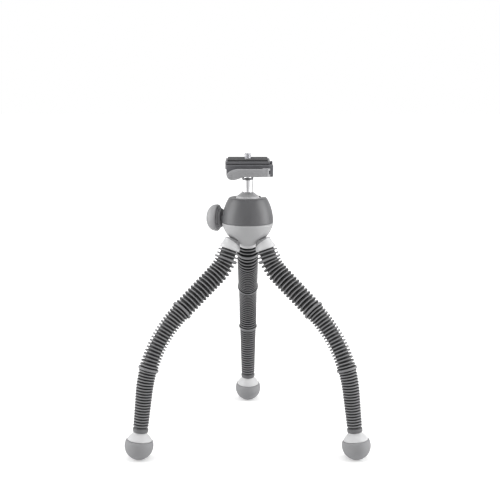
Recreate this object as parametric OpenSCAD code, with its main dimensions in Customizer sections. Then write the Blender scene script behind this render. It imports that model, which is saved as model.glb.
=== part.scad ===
// Flexible leg tripod: ball head with a quick release clamp on three bendable ribbed legs.
// Millimetres, +Z up. The origin is on the head's axis, on the plane that the feet stand on.
// The head's axis is Z, the front is -Y. All head heights are counted from the seam of its two shells.

/* [Leg line] */
// Distance of each leg's root from the head's axis
root_radius = 19.8; // [18:0.1:23]
// Depth of the leg's root below the seam
root_depth = 23.3; // [22:0.1:26]
// Lean of the leg at its root, from straight down
root_lean = 22; // [18:1:26]
// Lean of the leg's middle stretch
middle_lean = 50; // [40:1:56]
// Lean of the leg at its foot
foot_lean = 7; // [4:1:14]
// Straight stretch below the collar
root_run = 9; // [7:0.5:12]
// Length of the bend that spreads the leg
upper_bend = 20; // [16:1:30]
// Straight middle stretch
middle_run = 49; // [40:1:60]
// Length of the bend that brings the leg back down
lower_bend = 85; // [60:1:100]
// Straight stretch down to the centre of the foot
lower_run = 52; // [40:1:70]

/* [Leg sleeve] */
// Fins between the collar and the first ring
root_fins = 2; // [1:1:3]
// Fins between the first and the second ring
upper_fins = 16; // [10:1:20]
// Fins between the second and the third ring
middle_fins = 19; // [10:1:22]
// Fins between the third ring and the cuff
lower_fins = 20; // [10:1:22]
// Length from the collar to the first ring
root_span = 11.4; // [9:0.1:16]
// Length from the first to the second ring
upper_span = 65.6; // [56:0.1:72]
// Length from the second to the third ring
middle_span = 64; // [56:0.1:72]
// Fin diameter at the collar
fin_d_root = 21; // [18:0.1:24]
// Fin diameter above the second ring
fin_d_upper = 20; // [17:0.1:23]
// Fin diameter between the second and the third ring
fin_d_middle = 18; // [16:0.1:21]
// Fin diameter below the third ring
fin_d_lower = 16.4; // [15:0.1:19]
// Fin diameter above the cuff
fin_d_end = 14.3; // [13:0.1:16]
// How far a ring stands out beyond the fins, on the diameter
ring_proud = 1.5; // [0.5:0.1:3]
// Fin thickness
fin_t = 1.2; // [0.8:0.1:1.6]
// Ring thickness
ring_t = 2.5; // [2:0.1:3]
// Sleeve core diameter at the collar
core_d_root = 15.2; // [14.6:0.1:17]
// Sleeve core diameter at the cuff
core_d_end = 10.4; // [10:0.1:12]
// Sleeve wall
sleeve_wall = 1.1; // [0.8:0.1:1.3]
// Cuff diameter
cuff_d = 14.6; // [13:0.1:16]
// Cuff length
cuff_len = 5; // [3:0.5:8]

/* [Leg core] */
// Length from the collar to the first hinge
first_hinge = 5; // [4:0.5:8]
// Length from the last hinge to the sleeve's end
last_link = 30; // [24:1:40]
// Hinge pin diameter
hinge_pin_d = 2.4; // [2:0.1:3]
// Thickness of a link's tongue
tongue_t = 2.4; // [2:0.1:3]
// Room between the core and the sleeve's bore
bore_room = 0.7; // [0.6:0.05:0.9]
// Diameter of the rod between a link's two ends
core_rod_d = 4; // [3:0.1:5]
// Thickness of a link's shoulder
shoulder = 1.6; // [1.2:0.1:2]

/* [Feet] */
// Foot pad diameter
pad_d = 27.2; // [24:0.1:30]
// Height of the cap's seam above the pad's centre
cap_seam = 5.3; // [4:0.1:7]
// Height of the cap's neck above the pad's centre
cap_neck = 12; // [10:0.1:14]
// Cap diameter at its neck
cap_neck_d = 14; // [13.4:0.1:18]
// Cap diameter at its seam
cap_seam_d = 24; // [21:0.1:25]
// Diameter of the spigot under the cap
cap_spigot_d = 15; // [12:0.5:17]

/* [Shells] */
// Diameter of both shells at the seam
shell_d = 49.3; // [48:0.1:54]
// Height at which the upper shell's curve would close
crown_h = 35; // [34:0.1:38]
// Height of the upper shell's flat rim
dome_top = 24.1; // [23.8:0.1:24.6]
// Bevel of the rim's outer edge
dome_edge = 1.6; // [1:0.1:2.2]
// Depth of the lower shell
bowl_h = 23.6; // [22:0.1:26]
// Fullness of the upper shell's curve
crown_power = 2; // [1.9:0.05:2.2]
// Fullness of the lower shell's curve
bowl_power = 1.7; // [1.6:0.05:2]
// Wall of both shells
shell_wall = 2.6; // [2:0.1:3.2]
// Height of the lower shell's spigot inside the upper shell
spigot_h = 4.8; // [4:0.1:5]
// Wall of the spigot
spigot_wall = 2.1; // [1.8:0.1:2.6]
// Width of the ledge that carries the cup seat
ledge_w = 3.4; // [3:0.1:4]
// Thickness of the ledge
ledge_t = 2; // [1.5:0.1:3]

/* [Collars] */
// Collar diameter at its foot
collar_d = 19.5; // [18:0.1:21]
// Collar diameter at its top
collar_top_d = 14.4; // [13:0.1:16]
// Collar length before it is cut by the lower shell
collar_len = 9; // [8.5:0.5:11]
// Diameter of the threaded shank inside the lower shell
shank_d = 6; // [5:0.5:7]
// Diameter of the boss around the shank
boss_d = 13; // [12:0.5:14]
// How far up the leg line the boss reaches
boss_at = 12; // [11:0.5:14]
// Leg nut width over its corners
nut_d = 10; // [9:0.5:11]
// Leg nut height
nut_h = 4; // [3:0.5:5]

/* [Ball] */
// Ball diameter
ball_d = 26; // [25:0.1:27]
// Height of the ball's centre above the seam
ball_z = 17.7; // [17.2:0.1:18]
// Diameter of the ball opening
opening_d = 24; // [23:0.1:24.4]
// Diameter of the flared skirt on the ball
skirt_d = 22; // [20:0.1:22.4]
// Height of the skirt
skirt_h = 5.4; // [4:0.1:6]
// Stem diameter
stem_d = 9.5; // [8:0.1:10]
// Height of the stem's shoulder above the seam
stem_top = 41.2; // [40.6:0.1:44]
// Diameter of the stem's spigots
stem_spigot_d = 8; // [7:0.1:8.4]
// Depth of the stem's spigot in the ball
stem_seat = 9; // [6:0.5:12]
// Stem collar diameter
stem_collar_d = 10.6; // [10:0.1:10.8]
// Stem collar height
stem_collar_h = 2; // [1.5:0.1:3]
// Height of the bare neck between the stem collar and the clamp
neck_room = 1.8; // [1:0.1:2.5]
// Direction of the portrait notch around the head's axis
notch_turn = 30; // [20:1:40]
// Room on each side of the stem in the notch
notch_room = 0.55; // [0.4:0.05:1]
// Friction cup wall
cup_wall = 2.4; // [2:0.1:2.6]
// Depth of the cup's rim below the ball's centre
cup_rim = 8; // [7:0.1:9]
// Height of the cup seat ring
seat_h = 9.5; // [8:0.1:10]
// Hole in the cup seat ring
seat_hole_d = 18; // [17:0.5:20]

/* [Lock knob] */
// Direction of the knob around the head's axis
knob_turn = 165; // [150:1:172]
// Height of the knob's axis above the seam
knob_z = 3.2; // [3:0.1:5]
// Knob diameter
knob_d = 26; // [22:0.1:27]
// Diameter of the knob's base
knob_base_d = 22; // [18:0.1:24]
// Room between the upper shell and the knob
knob_gap = 0.9; // [0.6:0.1:2]
// Thickness of the knob's base
knob_base_t = 3.6; // [3:0.1:6]
// Thickness of the knob's cap
knob_cap_t = 11.5; // [7:0.1:13]
// Fullness of the knob cap's curve
knob_power = 2.6; // [2.2:0.1:3]
// Lock screw diameter
lock_d = 5.5; // [5:0.5:6]
// Depth of the lock screw in the cap
lock_in_cap = 6; // [3:0.5:7]
// Length of the lock pad's shank behind the cup, at its upper edge
pad_back = 4; // [3:0.1:5]

/* [Clamp] */
// Clamp length from left to right
clamp_len = 44; // [40:0.5:50]
// Shift of the clamp to the right of the stem
clamp_shift = 2; // [0:0.5:3]
// Height of the dovetail's floor above the clamp's bottom
floor_h = 7.5; // [7:0.1:9]
// Height of the jaws above the dovetail's floor
jaw_h = 4.7; // [4.3:0.1:5]
// Thickness of each jaw behind the dovetail
jaw_t = 3.2; // [3:0.1:6]
// Underside of the front jaw above the clamp's bottom
jaw_low = 2.6; // [2:0.1:3]
// Distance of the base's front from the stem
base_front = 14; // [13:0.1:15]
// Bevel under the base's front and back
base_bevel = 3; // [2:0.1:3.4]
// Guide pin diameter
guide_d = 2; // [1.6:0.1:2.4]
// Half the distance between the guide pins
guide_x = 12; // [9:0.5:14]
// Length of a guide pin in the base
guide_in = 8; // [6:0.5:9]
// Height of the guide pins above the clamp's bottom
guide_z = 6; // [5.6:0.1:6.2]
// Clamp screw head diameter
clamp_screw_head_d = 8.4; // [8:0.1:9]
// Clamp screw head height
clamp_screw_head_h = 3; // [2.5:0.1:3]
// Clamp screw shank diameter
clamp_screw_d = 5; // [4:0.5:5]
// Length of the clamp screw's shank
clamp_screw_len = 8; // [6:0.5:12]
// Height of the stem's spigot in the clamp
clamp_spigot_h = 3; // [2:0.1:3]
// Web between that spigot and the clamp screw's head
clamp_web = 1; // [0.8:0.1:1]

/* [Lever] */
// Distance of the lever's pin to the right of the stem
lever_x = 17.4; // [15:0.1:19]
// Lever pin diameter
lever_pin_d = 3; // [2.4:0.1:3]
// Diameter of the lever's round cam
cam_d = 7.3; // [7:0.1:9]
// Offset of the cam from its pin
cam_throw = 1; // [0.9:0.05:1]
// Room between the cam and the front jaw
cam_gap = 0.35; // [0.3:0.05:0.6]
// Bottom of the lever above the clamp's bottom
lever_low = 2; // [1.5:0.1:2.2]
// Height of the lever
lever_h = 7.5; // [7:0.1:9]
// Thickness of the lever's bar
bar_t = 3; // [2.5:0.1:3.5]
// Step between the cam's flat faces and the bar's edges
bar_step = 0.3; // [0.2:0.1:0.6]
// Radius of the bar's curve
bar_r = 62; // [55:1:80]
// Reach of the lever to the left of its pin
lever_reach = 31.5; // [29:0.5:36]
// Diameter of the thumb paddle
paddle_d = 10.6; // [9:0.1:12]
// Thickness of the thumb paddle
paddle_t = 4; // [3:0.1:5]
// How far the thumb paddle hangs below the lever's bar
paddle_drop = 3; // [2:0.1:3.2]
// Diameter of the pull rod between the base and the lever's pin
rod_d = 2.8; // [2.4:0.1:3]
// Diameter of the pull rod's eye
eye_d = 5.6; // [5:0.1:6]

/* [Plate] */
// Plate length from left to right
plate_len = 42; // [36:0.5:50]
// Width of the dovetail's foot
dovetail_w = 34; // [33:0.1:34.6]
// Upright edge of the dovetail's foot
dovetail_edge = 1.1; // [0.8:0.1:1.2]
// Height of the dovetail's slope
dovetail_slope = 2.5; // [2:0.1:2.5]
// Height of the neck above the slope
dovetail_neck = 1.2; // [1.1:0.1:2]
// Width of the plate's top
plate_w = 36; // [35:0.5:44]
// Thickness of the plate's top
plate_t = 2.5; // [2:0.1:4]
// Thickness of the rubber pad
rubber_t = 1.5; // [1:0.1:2]
// Margin of the plate around the rubber pad
rubber_margin = 2; // [1:0.1:4]
// Camera screw thread diameter
camera_screw_d = 6.35; // [6.2:0.05:6.4]
// Diameter of the camera screw's captive neck in the plate
camera_neck_d = 5; // [4:0.1:5.6]
// How far the camera screw stands above the rubber pad
camera_screw_out = 5; // [4.5:0.1:5.5]
// Camera screw head diameter
camera_head_d = 16; // [14:0.5:18]
// Camera screw head height
camera_head_h = 2.4; // [2:0.1:2.6]

/* [Fits] */
// Running clearance of pins and shafts
run_fit = 0.06; // [0.03:0.01:0.1]
// Clearance of fixed pieces that seat in one another
seat_fit = 0.03; // [0.02:0.01:0.05]
// Gap between faces that pass each other
face_gap = 0.3; // [0.25:0.05:0.4]
// Side clearance of a tongue in its fork
tongue_gap = 0.15; // [0.1:0.05:0.2]
// Gap where two sleeve lengths meet
split_gap = 0.1; // [0.05:0.05:0.2]

/* [Hidden] */
$fn = 64;
LEGS = ["rear_leg", "left_leg", "right_leg"];
LEG_TURN = [90, 210, 330];
N_LINKS = 5;
SIDES = 8;
BORE_STEPS = 6;
HEAD_NODES = ["upper_shell", "lower_shell", "leg_nuts", "cup_seat", "friction_cup", "ball", "stem",
    "stem_collar", "knob_cap", "knob_base", "lock_screw", "lock_pad", "clamp_base", "clamp_screw",
    "guide_pins", "clamp_jaw", "clamp_lever", "lever_pin", "plate", "plate_rubber", "camera_screw"];
LEG_NODES = concat(["collar"],
    [for (k = [1:N_LINKS]) str("link_", k)],
    [for (k = [1:N_LINKS]) str("sleeve_", k)],
    ["foot_cap", "foot_pad"]);

// Leg line: five stretches, each with its length and its lean at both ends
RUNS = [root_run, upper_bend, middle_run, lower_bend, lower_run];
LEAN_0 = [root_lean, root_lean, middle_lean, middle_lean, foot_lean];
LEAN_1 = [root_lean, middle_lean, middle_lean, foot_lean, foot_lean];
function sum_to(list, n) = n <= 0 ? 0 : list[n - 1] + sum_to(list, n - 1);
RUN_AT = [for (i = [0:5]) sum_to(RUNS, i)];
// Signed radius of a stretch, and the move along it, as outward distance and height
function bend_r(i) = 180 / PI * RUNS[i] / (LEAN_1[i] - LEAN_0[i]);
function lean_in(i, s) = LEAN_0[i] + (LEAN_1[i] - LEAN_0[i]) * (s - RUN_AT[i]) / RUNS[i];
function move_in(i, s) = LEAN_0[i] == LEAN_1[i]
    ? (s - RUN_AT[i]) * [sin(LEAN_0[i]), -cos(LEAN_0[i])]
    : bend_r(i) * [cos(LEAN_0[i]) - cos(lean_in(i, s)), sin(LEAN_0[i]) - sin(lean_in(i, s))];
function run_start(i) = i == 0 ? [0, 0] : run_start(i - 1) + move_in(i - 1, RUN_AT[i]);
function run_of(s) = s < RUN_AT[1] ? 0 : s < RUN_AT[2] ? 1 : s < RUN_AT[3] ? 2 : s < RUN_AT[4] ? 3 : 4;
foot_s = RUN_AT[5];
root_z = pad_d / 2 - (run_start(4) + move_in(4, foot_s))[1];
seam_z = root_z + root_depth;
function leg_point(s) = [root_radius, root_z] + run_start(run_of(s)) + move_in(run_of(s), s);
function leg_lean(s) = lean_in(run_of(s), s);

// Sleeve: the place and diameter of every fin and ring, as [place, radius, thickness]
cuff_end = foot_s - cap_neck;
cuff_at = cuff_end - cuff_len;
ring_2 = root_span + upper_span;
ring_3 = ring_2 + middle_span;
function fins(from, to, n, d0, d1) =
    [for (i = [1:n]) [from + (to - from) * i / (n + 1), (d0 + (d1 - d0) * i / (n + 1)) / 2, fin_t]];
FINS = concat(
    fins(0, root_span, root_fins, fin_d_root, fin_d_root),
    [[root_span, (fin_d_root + ring_proud) / 2, ring_t]],
    fins(root_span, ring_2, upper_fins, fin_d_root, fin_d_upper),
    [[ring_2, (fin_d_upper + ring_proud) / 2, ring_t]],
    fins(ring_2, ring_3, middle_fins, (fin_d_upper + fin_d_middle) / 2, fin_d_middle),
    [[ring_3, (fin_d_middle + ring_proud) / 2, ring_t]],
    fins(ring_3, cuff_at, lower_fins, fin_d_lower, fin_d_end));

// Core: hinge places, and the grooves nearest to the middle of each link, where the sleeve is split
hinge_pitch = (cuff_end - first_hinge - last_link) / (N_LINKS - 1);
function hinge_s(k) = first_hinge + (k - 1) * hinge_pitch;
function fins_above(s) = len([for (f = FINS) if (f[0] < s) 1]);
function groove(s) = let (n = fins_above(s)) (FINS[n - 1][0] + FINS[n][0]) / 2;
function split_s(k) = k == 0 ? 0 : k == N_LINKS ? cuff_end : groove(hinge_s(k) + hinge_pitch / 2);
function core_r(k) = (core_d_root + (core_d_end - core_d_root) * (k - 1) / (N_LINKS - 1)) / 2;
function bore_r(k) = core_r(k) - sleeve_wall;
function fork_r(k) = bore_r(min(k + 1, N_LINKS)) - bore_room;
function groove_after(s) = let (n = fins_above(s) + 1)
    n < len(FINS) ? (s + FINS[n][0]) / 2 : (s + cuff_at) / 2;
pin_r = hinge_pin_d / 2;
// How far a cut reaches past the face that it opens, and how far joined solids run into one another
cut = 1;
lap = 1;
link_end = foot_s - (cap_seam - 2 * face_gap);

// Head heights above the seam
skirt_z = ball_z + sqrt(pow(ball_d / 2, 2) - pow(skirt_d / 2, 2));
cup_r = ball_d / 2 + run_fit + cup_wall;
seat_r = cup_r + run_fit;
ledge_r = shell_d / 2 - shell_wall - spigot_wall - seat_fit;
clamp_z = stem_top + stem_collar_h + neck_room;
floor_z = clamp_z + floor_h;
plate_z = floor_z + face_gap;
rubber_z = plate_z + dovetail_edge + dovetail_slope + dovetail_neck + plate_t;

// Knob places along its axis, from the head's axis
pad_end = sqrt(pow(seat_r, 2) - pow(ball_z - knob_z - lock_d / 2, 2)) + pad_back;
knob_at = shell_d / 2 + knob_gap;
cap_at = knob_at + knob_base_t;

// Clamp places, front to back
jaw_in = dovetail_w / 2 + face_gap;
jaw_lip = jaw_in - dovetail_slope;
jaw_out = jaw_in + jaw_t;
lever_y = -(jaw_out + cam_gap + cam_d / 2 + cam_throw);
lever_z = clamp_z + lever_low;
eye_z = lever_z + lever_h / 2;
bar_y = lever_y - cam_d / 2 + sqrt(pow(bar_r, 2) - pow(lever_reach / 2, 2));
bar_half = asin(lever_reach / 2 / bar_r);

// A quarter of a superellipse, from its rim to its pole
function quarter(a, b, n) = [for (t = [0:6:90]) [a * pow(cos(t), 2 / n), b * pow(sin(t), 2 / n)]];
module crown(a, b, n) {
    rotate_extrude() polygon(concat([[0, 0]], quarter(a, b, n)));
}

// Places its children at a length down the leg line, with Z along the leg
module at_leg(s) {
    p = leg_point(s);
    translate([p[0], 0, p[1]]) rotate([0, 180 - leg_lean(s), 0]) children();
}
// A straight round rod between two places on the leg line
module leg_rod(from, to, r) {
    p = leg_point(from);
    way = leg_point(to) - p;
    translate([p[0], 0, p[1]]) rotate([0, atan2(way[0], way[1]), 0]) cylinder(h = norm(way), r = r);
}
// A ring of points square to the leg line, wide enough for a round bar of radius r inside it
function leg_ring(s, r) = let (p = leg_point(s), lean = leg_lean(s), out = r / cos(180 / SIDES))
    [for (j = [0:SIDES - 1]) let (turn = (j + 0.5) * 360 / SIDES)
        [p[0] + out * cos(turn) * cos(lean), out * sin(turn), p[1] + out * cos(turn) * sin(lean)]];
// A closed skin through a loop of rings, out along the leg and back through its bore
module leg_skin(rings) {
    n = len(rings);
    polyhedron(
        points = [for (ring = rings) each leg_ring(ring[0], ring[1])],
        faces = [for (i = [0:n - 1]) for (j = [0:SIDES - 1])
            let (k = (i + 1) % n, m = (j + 1) % SIDES)
                each [[i * SIDES + j, k * SIDES + j, k * SIDES + m],
                    [i * SIDES + j, k * SIDES + m, i * SIDES + m]]]);
}
// Turns a hinge's X axis to its pin: odd hinges bend the leg in its own plane, even ones sideways
module at_hinge(k) {
    at_leg(hinge_s(k)) rotate([0, 0, k % 2 == 1 ? 90 : 0]) children();
}
module hinge_hole(r, len) {
    rotate([0, 90, 0]) cylinder(h = len, r = r, center = true, $fn = 48);
}
// What is cut away to leave a fork with round ends below a link
module fork_cut(k, r, tongue_r) {
    slot = tongue_t + 2 * tongue_gap;
    at_hinge(k) {
        translate([-slot / 2, -2 * r, -tongue_r - face_gap]) cube([slot, 4 * r, 4 * r]);
        hinge_hole(pin_r + run_fit, 4 * r);
        round_end(r, 1);
    }
}
// What is cut away to leave a tongue with a round end above a link
module tongue_cut(k, r, fork_r) {
    at_hinge(k) {
        for (side = [-1, 1])
            translate([side > 0 ? tongue_t / 2 : -tongue_t / 2 - 2 * r, -2 * r, -2 * r])
                cube([2 * r, 4 * r, 2 * r + fork_r + face_gap]);
        hinge_hole(pin_r + seat_fit, 4 * r);
        round_end(r, -1);
    }
}
module round_end(r, side) {
    difference() {
        translate([-2 * r, -2 * r, side > 0 ? 0 : -2 * r]) cube([4 * r, 4 * r, 2 * r]);
        hinge_hole(r, 5 * r);
    }
}

// Head
function dome_r(z) = shell_d / 2 * pow(1 - pow(z / crown_h, crown_power), 1 / crown_power);
module dome() {
    edge_z = dome_top - dome_edge;
    side = [for (p = quarter(shell_d / 2, crown_h, crown_power)) if (p[1] < edge_z) p];
    rim = [[dome_r(edge_z), edge_z], [dome_r(dome_top) - dome_edge / 2, dome_top], [0, dome_top]];
    rotate_extrude() polygon(concat([[0, 0]], side, rim));
}
module upper_shell() {
    a = shell_d / 2;
    thick_z = ball_z + face_gap;
    color("#5c5c5e") translate([0, 0, seam_z]) difference() {
        dome();
        intersection() {
            crown(a - shell_wall, crown_h - shell_wall, crown_power);
            cylinder(h = thick_z, r = a);
        }
        translate([0, 0, -cut]) cylinder(h = spigot_h + face_gap + cut, r = a - shell_wall);
        translate([0, 0, ball_z]) sphere(ball_d / 2 + run_fit, $fn = 96);
        translate([0, 0, ball_z]) cylinder(h = crown_h, r = opening_d / 2);
        rotate([0, 0, notch_turn]) stem_notch();
        at_knob() cylinder(h = shell_d, r = lock_d / 2 + run_fit);
    }
}
module stem_notch() {
    r = stem_d / 2 + notch_room;
    translate([0, 0, ball_z]) rotate([0, 90, 0]) cylinder(h = shell_d, r = r);
    translate([0, -r, ball_z]) cube([shell_d, 2 * r, crown_h]);
}
module bowl(a, b) {
    mirror([0, 0, 1]) crown(a, b, bowl_power);
}
module lower_shell() {
    a = shell_d / 2;
    spigot_r = a - shell_wall - seat_fit;
    color("#a9a9aa") difference() {
        union() {
            translate([0, 0, seam_z]) {
                difference() {
                    bowl(a, bowl_h);
                    bowl(a - shell_wall, bowl_h - shell_wall);
                }
                translate([0, 0, -ledge_t]) difference() {
                    cylinder(h = ledge_t, r = spigot_r);
                    translate([0, 0, -cut]) cylinder(h = ledge_t + 2 * cut, r = ledge_r - ledge_w);
                }
                difference() {
                    cylinder(h = spigot_h, r = spigot_r);
                    translate([0, 0, -cut]) cylinder(h = spigot_h + 2 * cut, r = ledge_r);
                }
            }
            intersection() {
                translate([0, 0, seam_z]) bowl(a, bowl_h);
                every_leg() at_leg(0) translate([0, 0, -boss_at])
                    cylinder(h = 2 * boss_at, r = boss_d / 2);
            }
        }
        every_leg() at_leg(0) translate([0, 0, -2 * boss_at])
            cylinder(h = 3 * boss_at, r = shank_d / 2 + seat_fit);
        every_leg() at_leg(0) translate([0, 0, -boss_at - 2 * nut_h])
            cylinder(h = 2 * nut_h, r = nut_d / 2 + face_gap);
        translate([0, 0, seam_z]) at_knob() cylinder(h = shell_d, r = lock_d / 2 + run_fit);
    }
}
module every_leg() {
    for (turn = LEG_TURN) rotate([0, 0, turn]) children();
}
module leg_nuts() {
    color("#8e8e90") every_leg() at_leg(0) translate([0, 0, -boss_at - nut_h]) difference() {
        cylinder(h = nut_h, d = nut_d, $fn = 6);
        translate([0, 0, -cut]) cylinder(h = nut_h + 2 * cut, r = shank_d / 2 + seat_fit);
    }
}
module cup_seat() {
    color("#3a3a3c") translate([0, 0, seam_z]) difference() {
        cylinder(h = seat_h, r = ledge_r - seat_fit);
        translate([0, 0, -cut]) cylinder(h = seat_h + 2 * cut, d = seat_hole_d);
        translate([0, 0, ball_z]) sphere(seat_r, $fn = 96);
        at_knob() cylinder(h = shell_d, r = lock_d / 2 + run_fit);
    }
}
module friction_cup() {
    color("#d8d4c8") translate([0, 0, seam_z + ball_z]) difference() {
        sphere(cup_r, $fn = 96);
        sphere(ball_d / 2 + run_fit, $fn = 96);
        translate([0, 0, ball_d / 2 - cup_rim]) cube([2 * ball_d, 2 * ball_d, ball_d], center = true);
    }
}
module ball() {
    color("#c4c4c6") translate([0, 0, seam_z]) difference() {
        translate([0, 0, ball_z]) sphere(ball_d / 2, $fn = 96);
        translate([0, 0, skirt_z]) cylinder(h = ball_d, r = ball_d);
        translate([0, 0, skirt_z - stem_seat - seat_fit])
            cylinder(h = ball_d, r = stem_spigot_d / 2 + seat_fit);
    }
}
module stem() {
    screw_r = clamp_screw_d / 2 + seat_fit;
    color("#e6e6e8") translate([0, 0, seam_z]) difference() {
        union() {
            translate([0, 0, skirt_z - stem_seat]) cylinder(h = stem_seat + lap, d = stem_spigot_d);
            translate([0, 0, skirt_z]) cylinder(h = skirt_h, d1 = skirt_d, d2 = stem_d);
            translate([0, 0, skirt_z]) cylinder(h = stem_top - skirt_z, d = stem_d);
            cylinder_between(stem_top - lap, clamp_z + clamp_spigot_h, stem_spigot_d / 2);
        }
        cylinder_between(screw_foot() - face_gap, clamp_z + 2 * clamp_spigot_h, screw_r);
    }
}
module cylinder_between(from, to, r) {
    translate([0, 0, from]) cylinder(h = to - from, r = r);
}
function screw_seat() = clamp_z + clamp_spigot_h + clamp_web + 2 * run_fit;
function screw_foot() = screw_seat() - clamp_screw_len;
module stem_collar() {
    color("#b4b4b6") translate([0, 0, seam_z + stem_top]) difference() {
        cylinder(h = stem_collar_h, d = stem_collar_d);
        translate([0, 0, -cut]) cylinder(h = stem_collar_h + 2 * cut, r = stem_spigot_d / 2 + seat_fit);
    }
}

// Lock knob, along its own axis from the head's axis
module at_knob() {
    translate([0, 0, knob_z]) rotate([0, 0, knob_turn]) rotate([0, 90, 0]) children();
}
module knob_cap() {
    color("#a0a0a2") translate([0, 0, seam_z]) at_knob() translate([0, 0, cap_at]) difference() {
        crown(knob_d / 2, knob_cap_t, knob_power);
        translate([0, 0, -cut]) cylinder(h = lock_in_cap + cut, r = lock_d / 2 + seat_fit);
    }
}
module knob_base() {
    color("#77777a") translate([0, 0, seam_z]) at_knob() translate([0, 0, knob_at]) difference() {
        cylinder(h = knob_base_t, d1 = knob_base_d - knob_base_t, d2 = knob_base_d);
        translate([0, 0, -cut]) cylinder(h = knob_base_t + 2 * cut, r = lock_d / 2 + seat_fit);
    }
}
module lock_screw() {
    from = pad_end + run_fit;
    color("#8e8e90") translate([0, 0, seam_z]) at_knob() translate([0, 0, from])
        cylinder(h = cap_at + lock_in_cap - seat_fit - from, d = lock_d);
}
module lock_pad() {
    color("#c8a85a") translate([0, 0, seam_z]) difference() {
        at_knob() cylinder(h = pad_end, d = lock_d);
        translate([0, 0, ball_z]) sphere(seat_r, $fn = 96);
    }
}

// Quick release clamp
module dovetail_bar(points, len, shift) {
    translate([shift - len / 2, 0, 0]) rotate([90, 0, 90]) linear_extrude(len) polygon(points);
}
function jaw_hook(side) = [
    [side * jaw_in, floor_z + dovetail_edge],
    [side * jaw_lip, floor_z + dovetail_edge + dovetail_slope],
    [side * jaw_lip, floor_z + jaw_h],
    [side * jaw_out, floor_z + jaw_h]];
module clamp_base() {
    outline = concat([[-base_front + base_bevel, clamp_z], [-base_front, clamp_z + base_bevel],
        [-base_front, floor_z], [jaw_in, floor_z]], jaw_hook(1),
        [[jaw_out, clamp_z + base_bevel], [jaw_out - base_bevel, clamp_z]]);
    color("#5e5e60") translate([0, 0, seam_z]) {
        difference() {
            dovetail_bar(outline, clamp_len, clamp_shift);
            cylinder_between(clamp_z - cut, clamp_z + clamp_spigot_h + run_fit, stem_spigot_d / 2 + run_fit);
            cylinder_between(clamp_z, floor_z + cut, clamp_screw_d / 2 + run_fit);
            cylinder_between(screw_seat() - run_fit, floor_z + cut, clamp_screw_head_d / 2 + face_gap);
            guide_bars(guide_d / 2 + seat_fit, -base_front - cut, guide_in + cut + face_gap);
        }
        difference() {
            union() {
                translate([lever_x, lever_y, eye_z]) rotate([-90, 0, 0])
                    cylinder(h = -base_front + 2 * lap - lever_y, d = rod_d);
                translate([lever_x, lever_y, eye_z]) cylinder(h = rod_d, d = eye_d, center = true);
            }
            translate([lever_x, lever_y, lever_z]) cylinder(h = lever_h, r = lever_pin_d / 2 + seat_fit);
        }
    }
}
module guide_bars(r, from, len) {
    for (side = [-1, 1])
        translate([side * guide_x, from, clamp_z + guide_z]) rotate([-90, 0, 0]) cylinder(h = len, r = r);
}
module guide_pins() {
    color("#8e8e90") translate([0, 0, seam_z])
        guide_bars(guide_d / 2, -jaw_out, jaw_out - base_front + guide_in);
}
module clamp_screw() {
    color("#8e8e90") translate([0, 0, seam_z]) {
        cylinder_between(screw_foot(), screw_seat() + lap, clamp_screw_d / 2);
        cylinder_between(screw_seat(), screw_seat() + clamp_screw_head_h, clamp_screw_head_d / 2);
    }
}
module clamp_jaw() {
    back = -base_front - face_gap;
    outline = concat([[-jaw_out, clamp_z + jaw_low], [back, clamp_z + jaw_low], [back, floor_z],
        [-jaw_in, floor_z]], jaw_hook(-1));
    color("#5e5e60") translate([0, 0, seam_z]) difference() {
        dovetail_bar(outline, clamp_len, clamp_shift);
        guide_bars(guide_d / 2 + run_fit, -jaw_out - cut, jaw_t + jaw_in);
        translate([lever_x, lever_y, eye_z]) rotate([-90, 0, 0])
            cylinder(h = jaw_out, r = rod_d / 2 + face_gap);
    }
}
module clamp_lever() {
    color("#9b9b9d") translate([0, 0, seam_z]) difference() {
        union() {
            for (throw = [0, cam_throw])
                translate([lever_x, lever_y + throw, lever_z]) cylinder(h = lever_h, d = cam_d);
            translate([lever_x - lever_reach / 2, bar_y, lever_z]) rotate([0, 0, 270 - bar_half])
                rotate_extrude(angle = 2 * bar_half, $fn = 240)
                    translate([bar_r - bar_t / 2, bar_step]) square([bar_t, lever_h - 2 * bar_step]);
            translate([lever_x - lever_reach, lever_y - cam_d / 2, lever_z - paddle_drop + paddle_d / 2])
                rotate([90, 0, 0]) cylinder(h = paddle_t, d = paddle_d, center = true);
        }
        translate([lever_x, lever_y, lever_z - cut])
            cylinder(h = lever_h + 2 * cut, r = lever_pin_d / 2 + run_fit);
        translate([lever_x, lever_y, eye_z]) eye_slot();
    }
}
// The slot across the lever's cam that the pull rod and its eye pass as the lever swings
module eye_slot() {
    front = eye_d / 2 + face_gap;
    room = rod_d / 2 + face_gap;
    translate([-cam_d, -front, -room]) cube([2 * cam_d, front + cam_d, 2 * room]);
}
module lever_pin() {
    color("#c8c8ca") translate([lever_x, lever_y, seam_z + lever_z]) cylinder(h = lever_h, d = lever_pin_d);
}

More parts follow.
